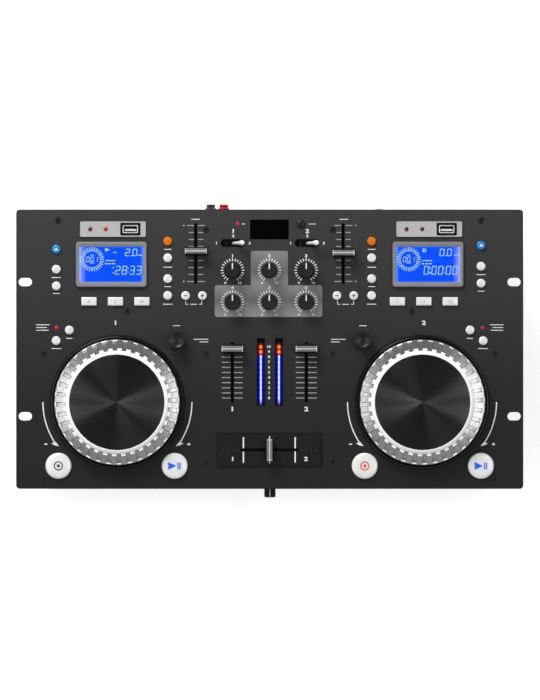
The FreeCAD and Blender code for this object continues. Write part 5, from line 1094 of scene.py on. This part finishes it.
@dataclass
class Faders:
    """The caps of the five faders."""

    lift: float = 1.2
    base_depth: float = 8.4
    base_height: float = 5.6
    pitch_size: Flat = (20.4, 4.9)
    channel_size: Flat = (19.9, 5.4)
    cross_size: Flat = (19.7, 5.4)
    pitch_rest: ClassVar[dict[Side, float]] = {Side.LEFT: 93.15, Side.RIGHT: 91.55}
    channel_rest: float = 0.25
    cross_rest: Flat = (-0.1, -95.7)

    def build(self) -> None:
        """Build every cap."""
        for side in Side:
            self.cap(f"{side.label}_pitch_fader", side.at(PITCH_X), self.pitch_rest[side], *self.pitch_size)
            x = MIXER_MIDDLE + side.at(CHANNEL_X)
            self.cap(f"{side.label}_channel_fader", x, self.channel_rest, *self.channel_size)
        self.cap("crossfader_cap", *self.cross_rest, *self.cross_size, upright=True)

    def cap(self, node: str, x: float, y: float, width: float, ridge: float, upright: bool = False) -> None:
        """Build one cap: black saddle, silver ridge and the bright line along it.

        Args:
            node: The node that it stands for, which is also its body.
            x: Its place along X.
            y: Its place along Y.
            width: How long it is across its travel.
            ridge: How thick its ridge is.
            upright: Whether it is turned a quarter, as on the crossfader.
        """
        half, top, a = self.base_depth / 2, self.base_height, ridge / 2
        saddle = bar([(-half, 0), (half, 0), (half, 2.2), (half - 0.5, 3.4), (a + 0.5, top - 0.7), (a, top),
                      (-a, top), (-a - 0.5, top - 0.7), (-half + 0.5, 3.4), (-half, 2.2)], width)
        crest = bar([(-a, top - 0.4), (a, top - 0.4), (a, top + 4.2), (a - 0.3, top + 4.7), (0.75, top + 4.45),
                     (0.5, top + 4.7), (-0.5, top + 4.7), (-0.75, top + 4.45), (-a + 0.3, top + 4.7),
                     (-a, top + 4.2)], width)
        line = block(width - 0.3, 0.8, top + 4.6, top + 4.98).softened(0.1, 1)
        end = width / 2 - 0.26
        line.plus(*[block(0.55, ridge - 0.1, top + 0.4, top + 4.85).moved(across) for across in (-end, end)])
        stem = block(1.0, 3.6, -6.0, 0.4)
        parts = (("saddle", saddle.softened(0.3, 2, 40).plus(stem), MOULDED, [node]),
                 ("ridge", crest.softened(0.18, 1, 50), RIDGE, ()), ("line", line, LINE, ()))
        for part, form, finish, shown in parts:
            form.turned(90 if upright else 0).moved(x, y, TOP + self.lift)
            form.piece(f"{node}_{part}", finish, node, "fader_silver", shown)


@dataclass
class Toggles:
    """The two source switches, each a chrome bat."""

    lean: float = 27.0
    y: float = 100.95
    pivot_drop: float = 3.0

    def build(self) -> None:
        """Build both bats."""
        for side in Side:
            node = f"{side.label}_source_toggle"
            profile = [(0, -1.4), (1.1, -1.0), (1.5, 0), (1.5, 5.0), (1.45, 7.5), (1.6, 10.5), (2.0, 14.5),
                       (2.35, 17.2), (2.5, 18.6), (2.4, 19.6), (1.9, 20.6), (1.0, 21.05), (0, 21.15)]
            bat = lathe(profile, 48).turned(self.lean, Axis.Y)
            bat.moved(TOGGLE_MIDDLE + side.at(TOGGLE_X), self.y, UNDERSIDE - self.pivot_drop)
            bat.piece(f"{node}_bat", BAT, node, "chrome", [node])


@dataclass
class Meters:
    """The level meters, the centre window and the small black key by it."""

    x: float = 0.2
    spacing: float = 17.25
    y: float = -21.6
    size: Flat = (7.5, 64.2)
    bar_size: Flat = (4.5, 2.9)
    first: float = 2.3
    pitch: float = 4.86
    count: int = 11
    window_size: Flat = (36.7, 18.5)
    window_place: Flat = (-0.3, 113.9)
    sync_place: Flat = (29.6, 119.1)

    def build(self) -> None:
        """Build both meters, the window and the key."""
        for side in Side:
            x = self.x + side.at(self.spacing / 2)
            name = f"{side.label}_meter"
            glow = MeterLight(f"{name}_glow", (0.0, 0.0, 0.004), 0.3, mottle=0.01, middle=x, power=0.85, red_power=0.3,
                              shine=0.1)
            strip = block(*self.size, *WINDOW).softened(0.12, 1).moved(x, self.y, TOP)
            strip.piece(f"{name}_strip", glow, slot="display_lens")
            lit = MeterLight(f"{name}_bar", (0.0, 0.0, 0.01), 0.3, mottle=0.01, middle=x, power=1.2, shine=0.1)
            bars = [block(*self.bar_size, 0.2, 0.39).softened(0.1, 1).moved(x, self.first - self.pitch * n, TOP)
                    for n in range(self.count)]
            group(bars).piece(f"{name}_bars", lit, slot="light_lens")
        window = block(*self.window_size, *WINDOW).softened(0.12, 1).moved(*self.window_place, TOP)
        window.piece("centre_window", DEEP, slot="display_lens")
        key = lathe([(0, SINK), (3.6, SINK), (3.6, 1.3), (3.4, 1.8), (2.8, 2.2), (1.8, 2.35), (0, 2.4)], 48)
        key.moved(*self.sync_place, TOP).piece("sync_key_dome", DIAL, "sync_key", "key_dark", ["sync_key"])


# ---------------------------------------------------------------- printing


def printed(width: float, depth: float, x: float, y: float) -> Form:
    """Print one plain bar."""
    return block(width, depth, *PRINT).moved(x, y)


@dataclass
class Printing:
    """Everything printed on the panel: scales, figures, dashes and the grey field of the mixer, whose bands are
    painted light and shade; also the painted shadow round the crossfader's plate.
    """

    bracket_x: float = 72.3
    dashes_each_side: tuple[Point, ...] = (
        (190.6, 10.3, 6.0), (202.9, 0.6, 9.5), (97.0, 95.0, 7.5), (97.0, 78.0, 8.5), (97.0, 59.5, 6.5),
        (97.0, 42.8, 9.0), (70.6, 123.6, 8.0), (88.6, 22.3, 7.0), (65.4, 9.4, 14.0), (62.5, 6.9, 8.5),
        (215.9, 23.2, 13.0), (217.15, 20.6, 10.5), (216.4, 18.0, 12.0), (72.3, 42.7, 6.5),
    )
    lone_dashes: tuple[Point, ...] = (
        (-203.0, 68.2, 9.0), (-203.0, 53.0, 6.5), (201.1, 70.9, 9.0), (201.1, 55.2, 6.5), (-24.9, 119.1, 3.0),
        (40.4, 119.1, 7.0),
    )

    def build(self) -> None:
        """Print every group, and lay the painted shadow round the crossfader's plate."""
        self.field()
        self.knob_scales()
        self.fader_scales()
        self.rim()
        self.figures()
        self.dashes()

    def put(self, shapes: Iterable[Form], name: str, finish: Finish = WHITE_INK, level: float = TOP) -> None:
        """Print shapes on the panel."""
        group(shapes).moved(z=level).piece(name, finish, slot="key_white")

    def field(self) -> None:
        """Print the grey field behind the knobs, with painted light and shade in bands from front to rear, darkest at
        the two knob rows.
        """
        finish = BandedPrint("grey_field_painted_bands", (0.22, 0.22, 0.22), 0.45, metallic=0.2, grain=0.2, front=30.7, rear=93.5,
                             bands=((0.0, 0.25), (0.10, 0.205), (0.26, 0.12), (0.40, 0.20), (0.52, 0.23),
                                    (0.68, 0.125), (0.80, 0.16), (0.95, 0.21), (1.0, 0.23)))
        wide = [(x - 1.15, y + 45.8) for x, y in rounded(102.3, 30.2, 2.2)]
        tall = [(x - 0.3, y + 76.2) for x, y in rounded(35.4, 34.6, 2.2)]
        tall_middle, wide_middle, shoulder = 76, 45, 60.9
        upper = [p for p in tall if p[1] > tall_middle]
        base = [p for p in wide if p[1] <= wide_middle]
        left, right = ([p for p in wide if p[1] > wide_middle and side.at(p[0]) > 0] for side in Side)
        outline = right + [(17.4, shoulder)] + upper + [(-18.0, shoulder)] + left + base
        self.put([prism(outline, -0.03, 0.02)], "mixer_field", finish)

    def knob_scales(self) -> None:
        """Print the ticks round each knob."""
        ticks = [block(0.95, 2.5, 0.0, PRINT[1]).moved(0, 10.0).turned(150 - 15 * step).moved(x, y)
                 for x in KNOB_X for y in KNOB_Y for step in range(21)]
        self.put(ticks, "knob_scales")

    def rows(self, x: float, ys: Iterable[float], gap: float, reach: float, width: float = 0.75) -> list[Form]:
        """Build pairs of ticks beside a slot."""
        long = reach - gap
        return [printed(long, width, x + sign * (gap + long / 2), y) for y in ys for sign in (-1, 1)]

    def fader_scales(self) -> None:
        """Print the scales of every fader."""
        grey, white = [], []
        for side in Side:
            x = side.at(PITCH_X)
            rows = [117.7 - 6.66 * n for n in range(9)]
            ends = (rows[0], rows[-1])
            grey += self.rows(x, rows[1:-1], 1.9, 6.9) + self.rows(x, ends, 1.9, 8.6)
            grey += self.rows(MIXER_MIDDLE + side.at(CHANNEL_X), [2.1 - 4.86 * n for n in range(11)], 1.7, 9.9)
            outer = x + side.at(11.6)
            white += [printed(1.5, 0.5, outer, y) for y in ends] + [printed(0.5, 1.5, outer, rows[-1])]
        lines = [printed(1.3, 10.6, x, y) for x in (-25.0, 24.2) for y in (-89.0, -102.7)]
        lines += [printed(1.1, 10.6, -0.1, y) for y in (-88.2, -103.4)]
        self.put(grey, "fader_scales", SCALE_INK)
        self.put(white, "fader_signs")
        self.put(lines, "crossfader_scale", level=TOP + PLATE_RISE)

    def rim(self) -> None:
        """Build the painted shadow round the crossfader's plate: a thin dark ring on the panel, where the raised
        plate's edge casts shade.
        """
        low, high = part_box("crossfader_plate")
        width, depth = ((high[n] - low[n]) / MM for n in (0, 1))
        rim = loft([(width + 1.3, depth + 1.3, 0.5, 0.0), (width + 1.3, depth + 1.3, 0.5, 0.1),
                    (width + 0.1, depth + 0.1, 0.3, 0.09), (width + 0.1, depth + 0.1, 0.3, 0.01)], hollow=True)
        rim.moved((low[0] + high[0]) / 2 / MM, (low[1] + high[1]) / 2 / MM, TOP).piece("crossfader_painted_shadow", COVER)

    def figures(self) -> None:
        """Print the figures: deck and channel numbers, knob numbers and the meters' scale."""
        shapes = []
        for number, side in enumerate(Side, 1):
            x = TOGGLE_MIDDLE + side.at(TOGGLE_X)
            places = ((side.at(146.7), 25.1, 4.2), (x, 112.4, 3.9), (MIXER_MIDDLE + side.at(CHANNEL_X), -56.9, 4.4))
            shapes += [glyphs(str(number), height).moved(across, y) for across, y, height in places]
            sources = ((x - 15.9, 100.9), (x, 107.8), (x + 15.6, 100.9))
            shapes += [glyphs(str(n), 2.5).moved(*place) for n, place in enumerate(sources, 1)]
            signs = "-+" if side is Side.LEFT else "+-"
            shapes += [glyphs(sign, 2.4).moved(side.at(reach), -90.4) for sign, reach in zip(signs, (213.0, 77.0))]
        for number, (x, y) in enumerate([(x, y) for y in KNOB_Y for x in KNOB_X], 1):
            shapes += [glyphs(str(number), 3.1).moved(x, y + 13.7), glyphs("0", 2.0).moved(x - 6.9, y - 12.0),
                       glyphs("10", 2.0).moved(x + 7.0, y - 12.0)]
        shapes += [glyphs(str(n), 2.5, stretch=1.2).moved(-0.6, 2.4 - 4.88 * (10 - n)) for n in range(11)]
        self.put(shapes, "panel_figures")
        lower = [glyphs(str(number), 4.0).moved(MIXER_MIDDLE + side.at(34.9), -104.4)
                 for number, side in enumerate(Side, 1)]
        self.put(lower, "crossfader_figures", level=TOP + PLATE_RISE)

    def dash(self, x: float, y: float, width: float, height: float = 0.62) -> Form:
        """Build one round-ended dash."""
        return prism([(px + x, py + y) for px, py in rounded(width, height, height / 2 - 0.01, 3)], *PRINT)

    def dashes(self) -> None:
        """Print a plain dash by each control and the bend keys' bracket."""
        shapes = [self.dash(*place) for place in self.lone_dashes]
        for side in Side:
            shapes += [self.dash(side.at(x), y, width) for x, y, width in self.dashes_each_side]
            middle = side.at(self.bracket_x)
            for step in (-1, 1):
                shapes += [printed(0.6, 3.6, middle + step * 7.6, 44.4), printed(2.6, 0.6, middle + step * 6.6, 42.7)]
        self.put(shapes, "panel_dashes")


# ---------------------------------------------------------------- front and rear


@dataclass
class Sockets:
    """The front jacks, the rear phono sockets, the earth terminal and the mains inlet's pins."""

    jack_x: float = 30.0
    phono_x: float = -50.2
    phono_reach: float = 6.3
    phono_drops: tuple[float, ...] = (22, 36, 50)
    earth_place: Flat = (104.7, 22)
    inlet_pins: tuple[Flat, ...] = ((143, 37.95), (150, 41.95), (157, 37.95))
    inlet_depth: float = 11.4

    def build(self) -> None:
        """Build every fitting of the front and rear walls."""
        jacks = [self.jack().turned(90, Axis.X).moved(side.at(self.jack_x), -WALL, FRONT_AXIS) for side in Side]
        group(jacks).piece("front_jacks", NICKEL, replaces=["jack_sockets"])
        plate = loft([(22.0, 42.0, 1.2, 0.0), (22.0, 42.0, 1.2, 1.6), (21.4, 41.4, 1.0, 2.0)])
        self.turned_back(plate, self.phono_x, self.phono_drops[1]).piece("phono_plate", MOULDED)
        places = {side: [(self.phono_x + side.at(self.phono_reach), drop) for drop in self.phono_drops]
                  for side in Side}
        for side, finish in ((Side.LEFT, GLOSSY), (Side.RIGHT, RED_SHELL)):
            shells = [self.turned_back(self.shell(), *place) for place in places[side]]
            group(shells).piece(f"phono_{side.label}_shells", finish)
        tubes = [self.turned_back(self.contact(), *place) for side in Side for place in places[side]]
        group(tubes).piece("phono_contacts", NICKEL)
        nut = lathe([(0, 0), (3.7, 0), (3.7, 2.7), (3.3, 3.2), (2.2, 3.25), (1.9, 3.4), (0, 3.4)], 96)
        self.turned_back(fluted(nut, 3.5, 0.3, 24), *self.earth_place).piece("earth_nut", CHROME)
        pins = [block(2.1, 13.2, 0, 4.1).moved(x, WALL - self.inlet_depth, z) for x, z in self.inlet_pins]
        group(pins).piece("inlet_pins", NICKEL)

    def turned_back(self, form: Form, x: float, drop: float) -> Form:
        """Set an upright shape on the rear wall, a drop below the panel's underside."""
        return form.turned(-90, Axis.X).moved(x, WALL, UNDERSIDE - drop)

    def jack(self) -> Form:
        """Build one jack: a ring nut round a deep hole."""
        return lathe([(3.2, 0.9), (3.6, 0.9), (4.9, 0.8), (5.2, 0.45), (5.2, -4.0), (3.6, -4.0), (3.6, -24.0),
                      (0, -24.0), (0, -23.4), (3.2, -23.4)], 72, ring=True)

    def shell(self) -> Form:
        """Build one phono socket's coloured shell with its flared foot."""
        return lathe([(2.1, 2.0), (5.3, 2.0), (5.3, 2.5), (4.6, 3.0), (4.15, 3.5), (4.15, 6.1), (3.85, 6.45),
                      (2.3, 6.45), (2.1, 6.2)], 56, ring=True)

    def contact(self) -> Form:
        """Build one phono socket's metal tube."""
        return lathe([(1.6, -4.0), (2.05, -4.0), (2.05, 6.35), (1.9, 6.48), (1.6, 6.4)], 40, ring=True)


# ---------------------------------------------------------------- studio


@dataclass
class Studio:
    """The pale floor, the soft lights and the camera."""

    camera_height: float = 4.092
    camera_place: Flat = (0.0003, -0.0008)
    lens: float = 216.2
    far: float = 5.0
    sky_reach: float = 0.6
    sky_greys: tuple[Flat, ...] = ((0.0, 0.50), (0.22, 0.35), (0.42, 0.16), (0.58, 0.16), (0.78, 0.42), (1.0, 0.58))
    floor_glow: float = 0.62
    key_place: Point = (-0.8, 1.7, 1.25)
    key_size: Flat = (1.3, 0.9)
    key_power: float = 50.0
    side_lamps: tuple[tuple[str, float, float], ...] = (("right", 0.0, 3.4), ("left", 180.0, 2.7))
    side_spread: int = 14
    side_tilt: float = 27.0
    side_size: Flat = (0.75, 1.75)

    def build(self) -> None:
        """Set up the floor, the light and the camera."""
        self.floor()
        self.lights()
        self.sky()
        self.camera()
        bpy.context.scene.view_settings.view_transform = "Standard"

    def floor(self) -> None:
        """Lay the floor, which is white to the camera and still takes the object's shadow."""
        form = Form()
        bmesh.ops.create_grid(form.mesh, x_segments=1, y_segments=1, size=6.0)
        mesh = bpy.data.meshes.new("floor")
        form.mesh.to_mesh(mesh)
        floor = bpy.data.objects.new("floor", mesh)
        bpy.context.scene.collection.objects.link(floor)
        graph = Graph("pale_floor")
        seen = graph.add("LightPath", {}).outputs
        rays = graph.sum("MAXIMUM", seen["Is Camera Ray"], seen["Is Glossy Ray"])
        graph.look({
            "Base Color": (0.86, 0.86, 0.86, 1.0), "Roughness": 0.9, "Specular IOR Level": 0.1,
            "Emission Color": (1.0, 1.0, 1.0, 1.0), "Emission Strength": graph.sum("MULTIPLY", rays, self.floor_glow),
        })
        mesh.materials.append(graph.material)

    def lamp(self, name: str, place: Point, size: Flat, power: float) -> None:
        """Hang one soft rectangular light that faces the panel's middle."""
        light = bpy.data.lights.new(name, "AREA")
        light.shape = "RECTANGLE"
        light.size, light.size_y = size
        light.energy = power
        holder = bpy.data.objects.new(name, light)
        holder.location = place
        aim = Vector((0.0, 0.0, TOP * MM)) - Vector(place)
        holder.rotation_euler = aim.to_track_quat("-Z", "Y").to_euler()
        bpy.context.scene.collection.objects.link(holder)

    def far_lamp(self, name: str, azimuth: float, tilt: float, size: Flat, brightness: float) -> None:
        """Hang a large distant light, whose reflection lies at the same place on both decks.

        Args:
            name: The light's name.
            azimuth: Its direction seen from above, in degrees anticlockwise from the right.
            tilt: How far it stands from straight above, in degrees.
            size: How wide it is across that direction, and along it.
            brightness: How bright its surface is.
        """
        turn, lean = math.radians(azimuth), math.radians(tilt)
        place = (self.far * math.sin(lean) * math.cos(turn), self.far * math.sin(lean) * math.sin(turn),
                 self.far * math.cos(lean))
        self.lamp(name, place, size, brightness * math.pi * size[0] * size[1])

    def lights(self) -> None:
        """Hang the key behind the left, two far lights at each side and a faint one in front."""
        self.lamp("key", self.key_place, self.key_size, self.key_power)
        for name, azimuth, brightness in self.side_lamps:
            for step in (-self.side_spread, self.side_spread):
                self.far_lamp(f"{name}_{step}", azimuth + step, self.side_tilt, self.side_size, brightness)
        self.far_lamp("front", azimuth=270.0, tilt=24.0, size=(2.4, 1.4), brightness=0.4)

    def sky(self) -> None:
        """Put up the sky: grey that pales towards both sides, and white to the camera."""
        world = bpy.data.worlds.new("sky")
        bpy.context.scene.world = world
        world.use_nodes = True
        nodes = Nodes(world.node_tree)
        way = nodes.add("SeparateXYZ", {0: nodes.add("TexCoord", {}).outputs["Generated"]})
        grey = nodes.ramp(nodes.share(way.outputs[0], -self.sky_reach, self.sky_reach),
                          [(position, (grey, grey, grey)) for position, grey in self.sky_greys])
        even = nodes.add("Background", {"Color": grey})
        white = nodes.add("Background", {"Color": (1.0, 1.0, 1.0, 1.0), "Strength": 1.0})
        seen = nodes.add("LightPath", {}).outputs["Is Camera Ray"]
        mixed = nodes.add("MixShader", {0: seen, 1: even.outputs[0], 2: white.outputs[0]})
        nodes.add("OutputWorld", {0: mixed.outputs[0]})

    def camera(self) -> None:
        """Hang the camera straight above the panel."""
        data = bpy.data.cameras.new("camera")
        data.lens = self.lens
        data.sensor_width = 36.0
        data.clip_end = 20.0
        holder = bpy.data.objects.new("camera", data)
        holder.location = (*self.camera_place, self.camera_height)
        bpy.context.scene.collection.objects.link(holder)
        bpy.context.scene.camera = holder


def main() -> None:
    """Build the console's looks in order."""
    logging.basicConfig(level=logging.INFO, format="%(name)s: %(message)s")
    jog_keys = ((190.65, 18.15), (203.15, 8.0))
    left_keys = ((203.0, 76.0), (203.0, 60.1), *jog_keys)
    right_keys = ((201.1, 78.8), (201.1, 62.7), *jog_keys)
    Case().build()
    JogSurrounds().build()
    for side, mode_keys, eject in ((Side.LEFT, left_keys, (203.0, 95.0)), (Side.RIGHT, right_keys, (201.1, 98.7))):
        JogWheel(side).build()
        DeckKeys(side, mode_keys, eject).build()
    DisplayFrames().build()
    Display(Side.LEFT, "- 2.0", "28:33", pitch_x=12.9, time_x=16.2).build()
    Display(Side.RIGHT, "0.0", "0:00:00", pitch_x=16.8, time_x=12.0).build()
    for assembly in (UsbPorts(), Lights(), Meters(), Knobs(), Faders(), Toggles(), Printing(), Sockets(), Studio()):
        assembly.build()


if __name__ == "__main__":
    main()
